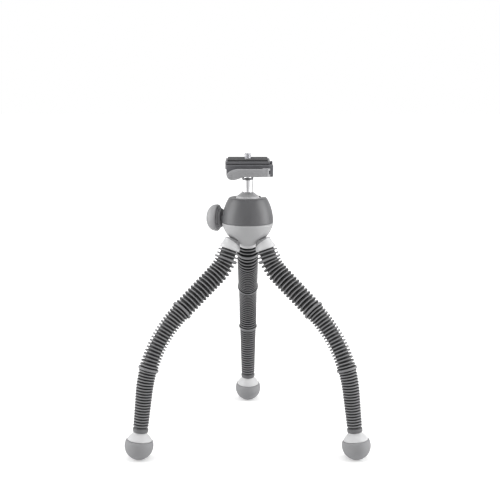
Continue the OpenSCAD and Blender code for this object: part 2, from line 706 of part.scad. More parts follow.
// Quick release plate
module plate() {
    half = dovetail_w / 2;
    neck = half - dovetail_slope;
    slope_z = plate_z + dovetail_edge;
    neck_z = slope_z + dovetail_slope;
    top_z = neck_z + dovetail_neck;
    right = [[half, plate_z], [half, slope_z], [neck, neck_z], [neck, top_z], [plate_w / 2, top_z],
        [plate_w / 2, rubber_z]];
    left = [for (i = [len(right) - 1:-1:0]) [-right[i][0], right[i][1]]];
    color("#4a4a4c") translate([0, 0, seam_z]) difference() {
        dovetail_bar(concat(right, left), plate_len, 0);
        cylinder_between(plate_z - cut, plate_z + camera_head_h + 2 * face_gap, camera_head_d / 2 + face_gap);
        cylinder_between(plate_z, rubber_z + cut, camera_neck_d / 2 + run_fit);
    }
}
module plate_rubber() {
    color("#2e2e30") translate([0, 0, seam_z + rubber_z]) difference() {
        translate([-plate_len / 2 + rubber_margin, -plate_w / 2 + rubber_margin, 0])
            cube([plate_len - 2 * rubber_margin, plate_w - 2 * rubber_margin, rubber_t]);
        translate([0, 0, -cut]) cylinder(h = rubber_t + 2 * cut, r = camera_screw_d / 2 + face_gap);
    }
}
module camera_screw() {
    head_z = plate_z + face_gap;
    thread_z = rubber_z + rubber_t;
    color("#b8b8ba") translate([0, 0, seam_z]) {
        cylinder_between(head_z, head_z + camera_head_h, camera_head_d / 2);
        cylinder_between(head_z, thread_z + lap, camera_neck_d / 2);
        cylinder_between(thread_z, thread_z + camera_screw_out, camera_screw_d / 2);
    }
}

// Legs, each drawn in the XZ plane
module collar() {
    r = fork_r(0);
    color("#d5d5d6") difference() {
        union() {
            difference() {
                at_leg(0) translate([0, 0, -collar_len])
                    cylinder(h = collar_len, d1 = collar_top_d, d2 = collar_d);
                translate([0, 0, seam_z]) bowl(shell_d / 2 + seat_fit, bowl_h + seat_fit);
            }
            at_leg(0) translate([0, 0, -boss_at - nut_h]) cylinder(h = boss_at + nut_h, d = shank_d);
            at_hinge(1) translate([0, 0, -first_hinge - shoulder])
                cylinder(h = first_hinge + shoulder + r, r = r);
        }
        fork_cut(1, r, fork_r(1));
    }
}
module link(k) {
    r = fork_r(k);
    above = fork_r(k - 1);
    tongue_end = above + face_gap + shoulder;
    color("#7c7c80") {
        difference() {
            union() {
                at_hinge(k) translate([0, 0, -r]) cylinder(h = r + tongue_end, r = r);
                if (k < N_LINKS) {
                    fork_back = fork_r(k + 1) + face_gap + shoulder;
                    leg_rod(hinge_s(k) + tongue_end - shoulder / 2, hinge_s(k + 1) - fork_back + shoulder / 2,
                        core_rod_d / 2);
                    at_hinge(k + 1) translate([0, 0, -fork_back]) cylinder(h = fork_back + r, r = r);
                } else {
                    leg_rod(hinge_s(k) + tongue_end - shoulder / 2, link_end, core_rod_d / 2);
                }
            }
            tongue_cut(k, r, above);
            if (k < N_LINKS) fork_cut(k + 1, r, fork_r(k + 1));
        }
        at_hinge(k) hinge_hole(pin_r, 2 * (above - 2 * face_gap));
    }
}
// The outer rings of one sleeve length: a fin's edge and the groove after it, or a ring's two edges
function sleeve_rings(k, from, to) = let (core = core_r(k))
    [for (f = FINS) if (f[0] > from && f[0] < to)
        each concat(
            f[2] > fin_t ? [[f[0] - f[2] / 2, f[1]], [f[0] + f[2] / 2, f[1]]] : [[f[0], f[1]]],
            groove_after(f[0]) < to ? [[groove_after(f[0]), core]] : [])];
module sleeve(k) {
    from = split_s(k - 1) + split_gap / 2;
    to = split_s(k) - split_gap / 2;
    cuff = k == N_LINKS ? [[cuff_at, cuff_d / 2], [to, cuff_d / 2]] : [[to, core_r(k)]];
    bore = [for (i = [0:BORE_STEPS]) [to + (from - to) * i / BORE_STEPS, bore_r(k)]];
    color("#67676a") leg_skin(concat([[from, core_r(k)]], sleeve_rings(k, from, to), cuff, bore));
}
module foot_cap() {
    color("#d2d2d3") at_leg(foot_s) difference() {
        union() {
            translate([0, 0, -cap_neck])
                cylinder(h = cap_neck - cap_seam, d1 = cap_neck_d, d2 = cap_seam_d);
            translate([0, 0, -cap_neck]) cylinder(h = cap_neck, d = cap_spigot_d - cap_seam);
            translate([0, 0, -cap_seam - lap]) cylinder(h = cap_seam + lap, d = cap_spigot_d);
        }
        translate([0, 0, -cap_neck - cut])
            cylinder(h = cap_neck + cut - cap_seam + 3 * face_gap, d = core_rod_d + 2 * seat_fit);
    }
}
module foot_pad() {
    color("#8f8f91") at_leg(foot_s) difference() {
        sphere(d = pad_d, $fn = 96);
        translate([0, 0, -pad_d - cap_seam]) cylinder(h = pad_d, d = 2 * pad_d);
        translate([0, 0, -pad_d]) cylinder(h = pad_d + seat_fit, r = cap_spigot_d / 2 + seat_fit);
    }
}

upper_shell();
lower_shell();
leg_nuts();
cup_seat();
friction_cup();
ball();
stem();
stem_collar();
knob_cap();
knob_base();
lock_screw();
lock_pad();
clamp_base();
clamp_screw();
guide_pins();
clamp_jaw();
clamp_lever();
lever_pin();
plate();
plate_rubber();
camera_screw();
for (i = [0:len(LEGS) - 1]) rotate([0, 0, LEG_TURN[i]]) {
    collar();
    for (k = [1:N_LINKS]) {
        link(k);
        sleeve(k);
    }
    foot_cap();
    foot_pad();
}
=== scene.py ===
"""The looks of a flexible leg tripod: its surfaces, finishes, light and camera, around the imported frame.

Sizes are millimetres and repeat the part's own driving dimensions.
Meshes are metres, +Z up, with the front towards -Y.
"""
import logging
import math
from dataclasses import dataclass
from enum import Enum
from functools import cached_property

import bmesh
import bpy
import numpy as np
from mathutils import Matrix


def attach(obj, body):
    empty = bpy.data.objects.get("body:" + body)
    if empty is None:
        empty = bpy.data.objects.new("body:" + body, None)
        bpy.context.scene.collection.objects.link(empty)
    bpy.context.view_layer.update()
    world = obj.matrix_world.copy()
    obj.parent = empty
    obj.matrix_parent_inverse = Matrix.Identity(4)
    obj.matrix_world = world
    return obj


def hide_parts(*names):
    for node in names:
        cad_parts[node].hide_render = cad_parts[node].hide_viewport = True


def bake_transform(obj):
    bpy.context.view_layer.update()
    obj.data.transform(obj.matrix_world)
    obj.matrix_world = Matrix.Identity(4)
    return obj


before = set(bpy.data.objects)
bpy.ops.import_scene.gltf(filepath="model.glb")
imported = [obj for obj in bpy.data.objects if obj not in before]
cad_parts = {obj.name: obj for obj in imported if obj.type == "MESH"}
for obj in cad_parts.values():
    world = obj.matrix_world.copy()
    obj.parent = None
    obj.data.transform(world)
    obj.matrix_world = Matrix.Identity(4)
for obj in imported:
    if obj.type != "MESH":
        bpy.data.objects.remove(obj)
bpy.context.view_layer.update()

LOG = logging.getLogger("tripod")
# Metres in a millimetre
MM = 0.001
# Lengths below this count as none
WELD = 1e-6
# The mesh attribute that tells a fin's tip from the groove beside it; where it is low, the sleeve's finish
# paints a dark groove shadow
GROOVE_SHADOW_MASK = "rim"
Array = np.ndarray
Corner = tuple[float, float, float]
Span = tuple[float, float]


class Grain(Enum):
    """How a surface was made, as the stretch of its fine pattern along X, Y and Z."""

    EVEN = (1.0, 1.0, 1.0)
    BRUSHED_X = (0.04, 1.0, 1.0)
    DRAWN_Z = (1.0, 1.0, 0.04)


class Leg(Enum):
    """The three legs, each with its name and its direction round the head's axis in degrees."""

    REAR = ("rear_leg", 90.0)
    LEFT = ("left_leg", 210.0)
    RIGHT = ("right_leg", 330.0)


# Surfaces


@dataclass
class Patch:
    """Part of a piece: its points in millimetres and the faces between them."""

    points: Array
    faces: list[list[int]]


@dataclass(frozen=True)
class Place:
    """A local frame: its origin, and the directions of its X, Y and Z as the rows of a matrix."""

    origin: Array
    axes: Array

    def carry(self, patch: Patch) -> Patch:
        """Moves a patch from the local frame to the part's frame."""
        return Patch(patch.points @ self.axes + self.origin, patch.faces)


def upright(x: float, y: float, z: float) -> Place:
    """A place with the part's own directions."""
    return Place(np.array([x, y, z]), np.eye(3))


def grid_patch(points: Array, ring: bool = True, loop: bool = False) -> Patch:
    """Joins a grid of points with four-sided faces.

    Each face joins rows i and i + 1 and columns j and j + 1.
    A ring closes the columns, a loop closes the rows.

    Args:
        points: Points in millimetres, as rows by columns by 3.
        ring: The last column meets the first.
        loop: The last row meets the first.

    Returns:
        The patch.
    """
    rows, columns = points.shape[:2]
    index = np.arange(rows * columns).reshape(rows, columns)
    if loop:
        index = np.vstack([index, index[:1]])
    if ring:
        index = np.hstack([index, index[:, :1]])
    quads = np.stack([index[:-1, :-1], index[:-1, 1:], index[1:, 1:], index[1:, :-1]], axis=-1)
    return Patch(points.reshape(-1, 3), quads.reshape(-1, 4).tolist())


def rounded(corners: list[Corner] | Array, steps: int = 6) -> Array:
    """Rounds the corners of a line.

    A corner gives way to an arc that touches both of its sides. The arc's centre lies on the corner's
    bisector, at radius / sin(half angle), and the arc turns evenly from the one touching point to the other.

    Args:
        corners: Each corner's two coordinates and its radius, in millimetres. A radius of 0 stays sharp.
        steps: Points on each arc.

    Returns:
        The points of the rounded line, as n by 2.
    """
    data = np.asarray(corners, float)
    point, radius = data[:, :2], data[:, 2:]
    sides = [np.roll(point, shift, axis=0) - point for shift in (1, -1)]
    back, ahead = [side / np.maximum(np.linalg.norm(side, axis=1, keepdims=True), WELD) for side in sides]
    half = 0.5 * np.arccos(np.clip((back * ahead).sum(axis=1, keepdims=True), -1.0, 1.0))
    half = np.clip(half, WELD, math.pi / 2 - WELD)
    bisector = back + ahead
    bisector = bisector / np.maximum(np.linalg.norm(bisector, axis=1, keepdims=True), WELD)
    centre = point + bisector * radius / np.sin(half)
    start = point + back * radius / np.tan(half) - centre
    stop = point + ahead * radius / np.tan(half) - centre
    turn = (math.pi - 2 * half)[:, :, None]
    share = np.linspace(0.0, 1.0, steps)[None, :, None]
    arc = np.sin((1 - share) * turn) * start[:, None] + np.sin(share * turn) * stop[:, None]
    arc /= np.sin(turn)
    line = (centre[:, None] + arc).reshape(-1, 2)
    kept = np.r_[True, np.abs(np.diff(line, axis=0)).max(axis=1) > WELD]
    return line[kept]


def bulge(
    a: float, b: float, power: float, low: float = 0.0, high: float = 90.0, count: int = 40
) -> Array:
    """Part of a superellipse: (a cos(t)^(2/power), b sin(t)^(2/power)), t from low to high in degrees."""
    turn = np.radians(np.linspace(low, high, count))
    across, up = (np.abs(wave) ** (2 / power) for wave in (np.cos(turn), np.sin(turn)))
    return np.column_stack([a * across, b * up])


def smooth(share: Array) -> Array:
    """The smooth step 3 t^2 - 2 t^3, with t held between 0 and 1."""
    held = np.clip(share, 0.0, 1.0)
    return held * held * (3 - 2 * held)


def revolve(profile: Array, sides: int = 96, loop: bool = False) -> Patch:
    """Turns a profile of (radius, height) once round Z: each point is (r cos u, r sin u, h)."""
    turn = np.linspace(0.0, 2 * math.pi, sides, endpoint=False)
    radius, height = profile[:, :1], profile[:, 1:]
    rim = [radius * np.cos(turn), radius * np.sin(turn), np.broadcast_to(height, (len(profile), sides))]
    return grid_patch(np.stack(rim, axis=-1), loop=loop)


def prism(outline: Array, start: float, stop: float) -> Patch:
    """Carries a closed outline of (y, z) points along X, from start to stop, and closes both ends."""
    count = len(outline)
    ends = [np.column_stack([np.full(count, x), outline]) for x in (start, stop)]
    here = np.arange(count)
    ahead = np.roll(here, -1)
    sides = np.column_stack([here, ahead, ahead + count, here + count]).tolist()
    return Patch(np.vstack(ends), sides + [here[::-1].tolist(), (here + count).tolist()])


# Finishes

# Detail of the clouds' noise and of the grain's noise
CLOUD_DETAIL = 3.0
GRAIN_DETAIL = 2.0
# Share of the grain's bump that shows
BUMP_STRENGTH = 0.6
# Refractive index of paint, plastic and rubber
REFRACTION = 1.5


def linear(code: str) -> tuple[float, float, float, float]:
    """Turns an sRGB hex colour such as #5c5c5e into linear red, green, blue and alpha.

    Args:
        code: The colour, with its leading mark.

    Returns:
        The four linear values.
    """
    srgb = np.array([int(code[i : i + 2], 16) for i in (1, 3, 5)]) / 255
    values = np.where(srgb <= 0.04045, srgb / 12.92, ((srgb + 0.055) / 1.055) ** 2.4)
    return (*values.tolist(), 1.0)


def add_node(tree: bpy.types.NodeTree, kind: str, settings: dict, links: dict) -> bpy.types.Node:
    """Adds a node with its settings and links.

    Args:
        tree: The node tree.
        kind: The node's type name.
        settings: Values by the node's attribute name, or else by its input's name or number.
        links: The sockets that feed the node's inputs, by input name or number.

    Returns:
        The new node.
    """
    node = tree.nodes.new(kind)
    for name, value in settings.items():
        if isinstance(name, str) and hasattr(node, name):
            setattr(node, name, value)
        else:
            node.inputs[name].default_value = value
    for name, socket in links.items():
        tree.links.new(socket, node.inputs[name])
    return node


@dataclass(frozen=True)
class Finish:
    """A procedural finish: two close shades in soft clouds, and a fine grain in roughness and bump."""

    name: str
    shade: str
    cloud_shade: str
    cloud_mm: float
    roughness: Span
    grain_mm: float
    grain_depth_mm: float
    grain: Grain = Grain.EVEN
    metallic: float = 0.0
    sheen: float = 0.0
    painted_groove_shadow: str = ""

    def material(self) -> bpy.types.Material:
        """Makes the material once and hands out the same one after that.

        Clouds are noise of cloud_mm that mixes the two shades. The fine noise of grain_mm, stretched as the
        grain says, sets the roughness between its two ends and raises the surface by grain_depth_mm. A
        painted groove shadow, a dark colour standing in for the shade between fins, shows where the mesh's
        own rim value falls from 1 to 0.

        Returns:
            The material.
        """
        known = bpy.data.materials.get(self.name)
        if known:
            return known
        made = bpy.data.materials.new(self.name)
        made.use_nodes = True
        tree = made.node_tree
        tree.nodes.clear()
        where = add_node(tree, "ShaderNodeTexCoord", {}, {}).outputs["Object"]
        stretched = add_node(tree, "ShaderNodeMapping", {"Scale": self.grain.value}, {"Vector": where})
        clouds = {"Scale": 1 / (self.cloud_mm * MM), "Detail": CLOUD_DETAIL}
        cloud = add_node(tree, "ShaderNodeTexNoise", clouds, {"Vector": where})
        grains = {"Scale": 1 / (self.grain_mm * MM), "Detail": GRAIN_DETAIL}
        grain = add_node(tree, "ShaderNodeTexNoise", grains, {"Vector": stretched.outputs[0]})
        colour = add_node(
            tree,
            "ShaderNodeMixRGB",
            {"Color1": linear(self.shade), "Color2": linear(self.cloud_shade)},
            {"Fac": cloud.outputs["Fac"]},
        )
        # Painted shadow in the grooves: the dark groove colour where the rim value is 0, the finish's own
        # colour where it is 1
        if self.painted_groove_shadow:
            rim = add_node(tree, "ShaderNodeAttribute", {"attribute_name": GROOVE_SHADOW_MASK}, {})
            colour = add_node(
                tree,
                "ShaderNodeMixRGB",
                {"Color1": linear(self.painted_groove_shadow)},
                {"Fac": rim.outputs["Fac"], "Color2": colour.outputs["Color"]},
            )
        low, high = self.roughness
        rough = add_node(
            tree, "ShaderNodeMapRange", {"To Min": low, "To Max": high}, {"Value": grain.outputs["Fac"]}
        )
        bump = add_node(
            tree,
            "ShaderNodeBump",
            {"Strength": BUMP_STRENGTH, "Distance": self.grain_depth_mm * MM},
            {"Height": grain.outputs["Fac"]},
        )
        values = {"Metallic": self.metallic, "IOR": REFRACTION, "Sheen Weight": self.sheen}
        feeds = {
            "Base Color": colour.outputs["Color"],
            "Roughness": rough.outputs["Result"],
            "Normal": bump.outputs["Normal"],
        }
        shader = add_node(tree, "ShaderNodeBsdfPrincipled", values, feeds)
        add_node(tree, "ShaderNodeOutputMaterial", {}, {"Surface": shader.outputs["BSDF"]})
        return made


# Satin paint sprayed on die-cast metal: a dark shell that takes broad soft reflections.
DOME_PAINT = Finish("satin_dark_paint", "#59595b", "#5f5f61", 9.0, (0.34, 0.42), 0.9, 0.02)
# The same paint in light grey: nearly even, with a gentle sheen.
BOWL_PAINT = Finish("satin_light_paint", "#aeaeaf", "#b4b4b5", 9.0, (0.36, 0.46), 0.9, 0.02)
# Pale satin paint on the small leg sockets and the ball. On the rim of the skirt round the stem, it also
# stands in for the highlight where that edge catches the top light.
COLLAR_PAINT = Finish("satin_pale_paint", "#d2d2d3", "#d8d8d9", 7.0, (0.34, 0.44), 0.9, 0.02)
# Moulded rubber, cured in a fine blasted mould: matte, with a dull speckle and soft lighter bloom. Its
# grooves, fin flanks and bore take a dark painted shadow by the rim value.
SLEEVE_RUBBER = Finish(
    "moulded_rubber", "#7c7c7e", "#848486", 6.0, (0.4, 0.54), 0.7, 0.03, painted_groove_shadow="#1e1e1f"
)
# Softer grey rubber of the feet: smoother, with a faint silky highlight. The same finish colours the painted
# shade skin round the leg sockets.
FOOT_RUBBER = Finish("foot_rubber", "#8a8a8c", "#929294", 6.0, (0.46, 0.6), 0.8, 0.04, sheen=0.3)
# Moulded ABS in pale grey with a fine spark texture.
CAP_PLASTIC = Finish("abs_pale", "#cdcdce", "#d3d3d4", 7.0, (0.4, 0.52), 0.8, 0.03)
# Moulded ABS in mid grey for the knob.
KNOB_PLASTIC = Finish("abs_grey", "#9b9b9d", "#a3a3a4", 7.0, (0.38, 0.5), 0.8, 0.03)
# The knob's darker underside, with a coarser moulded texture.
KNOB_DARK = Finish("abs_dark", "#7e7e80", "#868688", 7.0, (0.44, 0.58), 0.8, 0.03)
# Turned and polished steel: bright, with very faint drawn lines along the stem.
POLISHED_STEEL = Finish(
    "polished_steel", "#e4e4e6", "#eaeaec", 8.0, (0.1, 0.16), 0.6, 0.004, Grain.DRAWN_Z, metallic=1.0
)
# Bead-blasted, dark anodised aluminium.
CLAMP_ANODISED = Finish(
    "dark_anodised_aluminium", "#6f6f72", "#77777a", 8.0, (0.4, 0.52), 0.7, 0.015, metallic=1.0
)
# Satin paint on the cast lever.
LEVER_PAINT = Finish("satin_grey_paint", "#979799", "#9e9ea0", 8.0, (0.34, 0.44), 0.9, 0.02)
# Zinc plated steel fasteners.
ZINC_STEEL = Finish(
    "zinc_plated_steel", "#c2c2c6", "#cacacd", 5.0, (0.24, 0.36), 0.5, 0.01, Grain.BRUSHED_X, metallic=1.0
)
# Turned steel with a satin nickel plating: a soft shine. Its colour is darker than the plating's own, partly
# for the satin finish and partly as painted shade for the ring's place under the clamp.
SHADED_SATIN_NICKEL = Finish("satin_nickel_painted_shade", "#606063", "#686869", 6.0, (0.36, 0.46), 0.5, 0.01, metallic=1.0)
# Machined aluminium links, with fine tool lines.
MACHINED_ALUMINIUM = Finish(
    "machined_aluminium", "#b7b7bb", "#bfbfc2", 6.0, (0.3, 0.42), 0.5, 0.01, Grain.DRAWN_Z, metallic=1.0
)
# Turned brass of the lock pad.
TURNED_BRASS = Finish("turned_brass", "#c9a55a", "#d1ae66", 5.0, (0.24, 0.34), 0.5, 0.01, metallic=1.0)
# Natural nylon of the friction cup: waxy and even.
NATURAL_NYLON = Finish("natural_nylon", "#dcd8cc", "#e2ded3", 6.0, (0.42, 0.52), 0.9, 0.02)
# Black nylon of the cup seat.
BLACK_NYLON = Finish("black_nylon", "#2b2b2d", "#323234", 6.0, (0.45, 0.56), 0.9, 0.02)
# Black rubber of the plate's pad.
PAD_RUBBER = Finish("black_rubber", "#303032", "#38383a", 5.0, (0.6, 0.75), 0.7, 0.04, sheen=0.1)


# Pieces


def make_piece(
    name: str, patches: list[Patch], finish: Finish, nodes: list[str], rim: Array | None = None
) -> bpy.types.Object:
    """Makes a smooth-shaded piece from its patches and says which nodes it stands for.

    Args:
        name: The piece's name.
        patches: Its surfaces, in millimetres, in the part's frame.
        finish: Its finish.
        nodes: The nodes that it replaces.
        rim: How far each point lies out of the grooves, from 0 to 1. Where it is low, the finish paints a
            groove shadow.

    Returns:
        The new object, at the origin.
    """
    starts = np.cumsum([0] + [len(patch.points) for patch in patches])
    faces = [
        [start + i for i in face] for patch, start in zip(patches, starts) for face in patch.faces
    ]
    mesh = bpy.data.meshes.new(name)
    mesh.from_pydata((np.vstack([patch.points for patch in patches]) * MM).tolist(), [], faces)
    if rim is not None:
        mesh.attributes.new(GROOVE_SHADOW_MASK, "FLOAT", "POINT").data.foreach_set("value", rim.astype(np.float32))
    clean(mesh)
    mesh.materials.append(finish.material())
    piece = bpy.data.objects.new(name, mesh)
    bpy.context.scene.collection.objects.link(piece)
    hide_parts(*nodes)
    LOG.info("%s: %d faces, for %s", name, len(mesh.polygons), ", ".join(nodes))
    return piece


def clean(mesh: bpy.types.Mesh, sharp_degrees: float = 38.0) -> None:
    """Welds doubled points, turns the faces outwards and shades smooth up to an angle.

    Args:
        mesh: The mesh to change.
        sharp_degrees: Edges that bend more than this stay sharp.
    """
    work = bmesh.new()
    work.from_mesh(mesh)
    bmesh.ops.remove_doubles(work, verts=work.verts, dist=WELD)
    bmesh.ops.recalc_face_normals(work, faces=work.faces)
    work.to_mesh(mesh)
    work.free()
    mesh.shade_smooth()
    mesh.set_sharp_from_angle(angle=math.radians(sharp_degrees))


def carve(piece: bpy.types.Object, cutter: Patch, keep: bool = False) -> None:
    """Cuts a closed patch out of a piece.

    Args:
        piece: The piece to cut.
        cutter: The closed surface to take away.
        keep: What lies inside the cutter stays instead, and the rest goes.
    """
    mesh = bpy.data.meshes.new("cutter")
    mesh.from_pydata((cutter.points * MM).tolist(), [], cutter.faces)
    clean(mesh)
    tool = bpy.data.objects.new("cutter", mesh)
    bpy.context.scene.collection.objects.link(tool)
    cut = piece.modifiers.new("cut", "BOOLEAN")
    cut.operation, cut.solver, cut.object = "INTERSECT" if keep else "DIFFERENCE", "EXACT", tool
    seen = piece.evaluated_get(bpy.context.evaluated_depsgraph_get())
    result = bpy.data.meshes.new_from_object(seen)
    piece.modifiers.clear()
    old, piece.data = piece.data, result
    result.name = old.name
    bpy.data.meshes.remove(old)
    bpy.data.objects.remove(tool)
    bpy.data.meshes.remove(mesh)
    clean(result)


def ease_edges(
    piece: bpy.types.Object, width_mm: float, steps: int = 3, sharp_degrees: float = 30.0
) -> None:
    """Rounds a piece's sharp edges.

    Args:
        piece: The piece to change.
        width_mm: The bevel's width.
        steps: Faces across the bevel.
        sharp_degrees: Edges that bend less than this stay as they are.
    """
    bevel = piece.modifiers.new("eased_edges", "BEVEL")
    bevel.width, bevel.segments = width_mm * MM, steps
    bevel.limit_method, bevel.angle_limit = "ANGLE", math.radians(sharp_degrees)
    bevel.harden_normals = True


@dataclass(frozen=True)
class LegLine:
    """A leg's centre line in its own upright plane, counted in millimetres from the collar's foot."""

    root_radius: float = 19.8
    pad_radius: float = 13.6
    runs: tuple[float, ...] = (9.0, 20.0, 49.0, 85.0, 52.0)
    leans: tuple[float, ...] = (22.0, 22.0, 50.0, 50.0, 7.0, 7.0)
    step: float = 0.025

    @cached_property
    def marks(self) -> Array:
        """Where the line's stretches begin and end."""
        return np.cumsum((0.0, *self.runs))

    @cached_property
    def table(self) -> tuple[Array, Array]:
        """Lengths at every step and the moves (outward, up) there: sums of sin and -cos of the lean."""
        length = np.linspace(0.0, self.marks[-1], int(self.marks[-1] / self.step) + 1)
        lean = self.lean(length)
        way = np.column_stack([np.sin(lean), -np.cos(lean)])
        steps = 0.5 * (way[1:] + way[:-1]) * np.diff(length)[:, None]
        return length, np.vstack([[0.0, 0.0], np.cumsum(steps, axis=0)])

    @property
    def root_height(self) -> float:
        """Height of the collar's foot, with the pad standing on the ground."""
        return self.pad_radius - self.table[1][-1, 1]

    def lean(self, s: Array) -> Array:
        """The line's lean from straight down, in radians: it changes evenly along a bend."""
        return np.radians(np.interp(s, self.marks, self.leans))

    def points(self, s: Array) -> Array:
        """Outward distance and height at lengths s."""
        length, moves = self.table
        out, up = (np.interp(s, length, moves[:, i]) for i in (0, 1))
        return np.stack([self.root_radius + out, self.root_height + up], axis=-1)

    def sweep(self, s: Array, radius: Array, turn: float, sides: int = 40) -> Array:
        """Carries a round section along the line.

        Point (i, j) lies radius i from the line at length s i, at angle j in the plane square to the line.
        The whole is turned round the head's axis.

        Args:
            s: Lengths along the line, one a ring.
            radius: The ring's radius.
            turn: The leg's direction in degrees.
            sides: Points on each ring.

        Returns:
            Points as rings by sides by 3.
        """
        angle = np.linspace(0.0, 2 * math.pi, sides, endpoint=False)
        centre, lean = self.points(s), self.lean(s)[:, None]
        across, aside = (radius[:, None] * wave for wave in (np.cos(angle), np.sin(angle)))
        out, up = centre[:, :1] + across * np.cos(lean), centre[:, 1:] + across * np.sin(lean)
        return np.stack([out, aside, up], axis=-1) @ turned(turn)

    def place(self, s: float, turn: float) -> Place:
        """The frame at a length: X outwards across the leg, Z up along it."""
        cos, sin = (float(wave(self.lean(s))) for wave in (np.cos, np.sin))
        out, up = self.points(s)
        axes = np.array([[cos, 0, sin], [0, 1, 0], [-sin, 0, cos]])
        return Place(np.array([out, 0, up]) @ turned(turn), axes @ turned(turn))

    def spot(self, s: float, turn: float) -> tuple[float, ...]:
        """A point of the line in the part's frame, in metres."""
        return tuple((self.place(s, turn).origin * MM).tolist())


def turned(degrees: float) -> Array:
    """The matrix that turns points, written as rows, round Z."""
    c, s = math.cos(math.radians(degrees)), math.sin(math.radians(degrees))
    return np.array([[c, s, 0], [-s, c, 0], [0, 0, 1]])


LINE = LegLine()
# The seam between the head's shells: how far it lies above the collars' feet, and its height
SEAM_RISE = 23.3
SEAM = LINE.root_height + SEAM_RISE


@dataclass(frozen=True)
class Sleeve:
    """The ribbed rubber sleeve of a leg: thin fins, three thick rings and an end cuff, in five lengths."""

    leg: Leg
    fin_counts: tuple[int, ...] = (2, 16, 19, 20)
    ring_places: tuple[float, ...] = (11.4, 77.0, 141.0)
    fin_diameters: tuple[Span, ...] = ((21.0, 21.0), (21.0, 20.0), (19.0, 18.2), (17.4, 14.4))
    ring_diameters: tuple[float, ...] = (22.5, 21.5, 19.5)
    fin_thickness: float = 1.6
    ring_thickness: float = 2.5
    fin_power: float = 2.0
    ring_power: float = 3.2
    ring_lip: float = 1.1
    tip_points: int = 11
    tip_share: float = 0.7
    core_diameters: Span = (15.0, 11.6)
    wall: float = 1.1
    root_fillet: float = 0.3
    cuff_at: float = 198.0
    cuff_end: float = 203.0
    cuff_stop: float = 202.2
    cuff_radius: float = 7.3
    cuff_lead: float = 0.4
    cuff_root: float = 0.2
    cuff_edge: float = 0.5
    cuff_foot: float = 1.7
    cuff_shade: float = 0.6
    bore_rings: int = 14
    first_hinge: float = 5.0
    hinge_pitch: float = 42.0
    lengths: int = 5
    bend_reach: float = 19.0

    @cached_property
    def fins(self) -> Array:
        """Place, radius and thickness of every fin and ring, evenly spaced between the rings."""
        marks = (0.0, *self.ring_places, self.cuff_at)
        rows = []
        for count, start, stop, (first, last) in zip(self.fin_counts, marks, marks[1:], self.fin_diameters):
            share = np.arange(1, count + 1) / (count + 1)
            place, radius = start + (stop - start) * share, (first + (last - first) * share) / 2
            rows.append(np.column_stack([place, radius, np.full(count, self.fin_thickness)]))
        rings = zip(self.ring_places, self.ring_diameters)
        rows.append(np.array([(place, across / 2, self.ring_thickness) for place, across in rings]))
        every = np.vstack(rows)
        return every[np.argsort(every[:, 0])]

    def core(self, s: Array) -> Array:
        """Radius of the sleeve between its fins, which narrows evenly."""
        return np.interp(s, (0.0, self.cuff_end), self.core_diameters) / 2

    def hinge(self, number: int) -> float:
        """Length at which the leg's core is hinged."""
        return self.first_hinge + self.hinge_pitch * (number - 1)

    def split(self, number: int) -> float:
        """Where a length ends: the groove nearest to the middle of a link, or an end of the sleeve."""
        if number in (0, self.lengths):
            return self.cuff_end * (number > 0)
        above = int((self.fins[:, 0] < self.hinge(number) + self.hinge_pitch / 2).sum())
        return float(self.fins[above - 1 : above + 1, 0].mean())

    def profile(self, start: float, stop: float) -> tuple[Array, Array, Array]:
        """The outside of one length.

        Each fin is two upright flanks on the core and a tip that is half a superellipse, round on a fin and
        squarer on a ring.

        Args:
            start: Where the length begins.
            stop: Where it ends.

        Returns:
            Lengths along the leg, the radius at each, and its rim value: 0 on core and flanks, 1 on a tip.
            The finish paints a dark groove shadow where the value is low.
        """
        chosen = self.fins[(self.fins[:, 0] > start) & (self.fins[:, 0] < stop)]
        place, radius, thick = (chosen[:, i : i + 1] for i in range(3))
        ring = thick > self.fin_thickness
        power = np.where(ring, self.ring_power, self.fin_power)
        lip = np.where(ring, self.ring_lip, self.fin_thickness / 2)
        turn = np.linspace(0.0, math.pi, self.tip_points)
        half = thick / 2 * np.sign(np.cos(turn)) * np.abs(np.cos(turn)) ** (2 / power)
        tip = radius - lip + lip * np.abs(np.sin(turn)) ** (2 / power)
        core = self.core(place)
        foot, flank = thick / 2 + self.root_fillet, thick / 2
        along = np.hstack([place - foot, place - flank, place - half, place + flank, place + foot])
        out = np.hstack([core, core + self.root_fillet, tip, core + self.root_fillet, core])
        # The rim value rises over the outer tip_share of the lip; below that, the flanks and core take the
        # painted groove shadow
        shown = self.tip_share * lip
        rim = smooth((out - radius + shown) / shown)
        s = np.r_[start, along.ravel(), stop]
        first, last = self.core(np.array([start, stop]))
        return s, np.r_[first, out.ravel(), last], np.r_[0.0, rim.ravel(), 0.0]

    def cuff(self) -> tuple[Array, Array]:
        """The plain end band, with rounded edges: lengths and radii."""
        core, outer = float(self.core(np.array(self.cuff_at))), self.cuff_radius
        corners = [
            (self.cuff_at - self.cuff_lead, core, 0.0),
            (self.cuff_at, core, self.cuff_root),
            (self.cuff_at, outer, self.cuff_edge),
            (self.cuff_stop, outer, self.cuff_foot),
            (self.cuff_stop, core - self.wall, 0.0),
        ]
        return tuple(rounded(corners).T)

    def build(self) -> None:
        """Makes the five lengths, each across one hinge of the leg's core."""
        name, turn = self.leg.value
        for number in range(1, self.lengths + 1):
            start, stop = self.split(number - 1), self.split(number)
            last = number == self.lengths
            s, radius, rim = self.profile(start, self.cuff_at - self.cuff_lead if last else stop)
            if last:
                band_s, band_radius = self.cuff()
                s, radius = np.r_[s, band_s], np.r_[radius, band_radius]
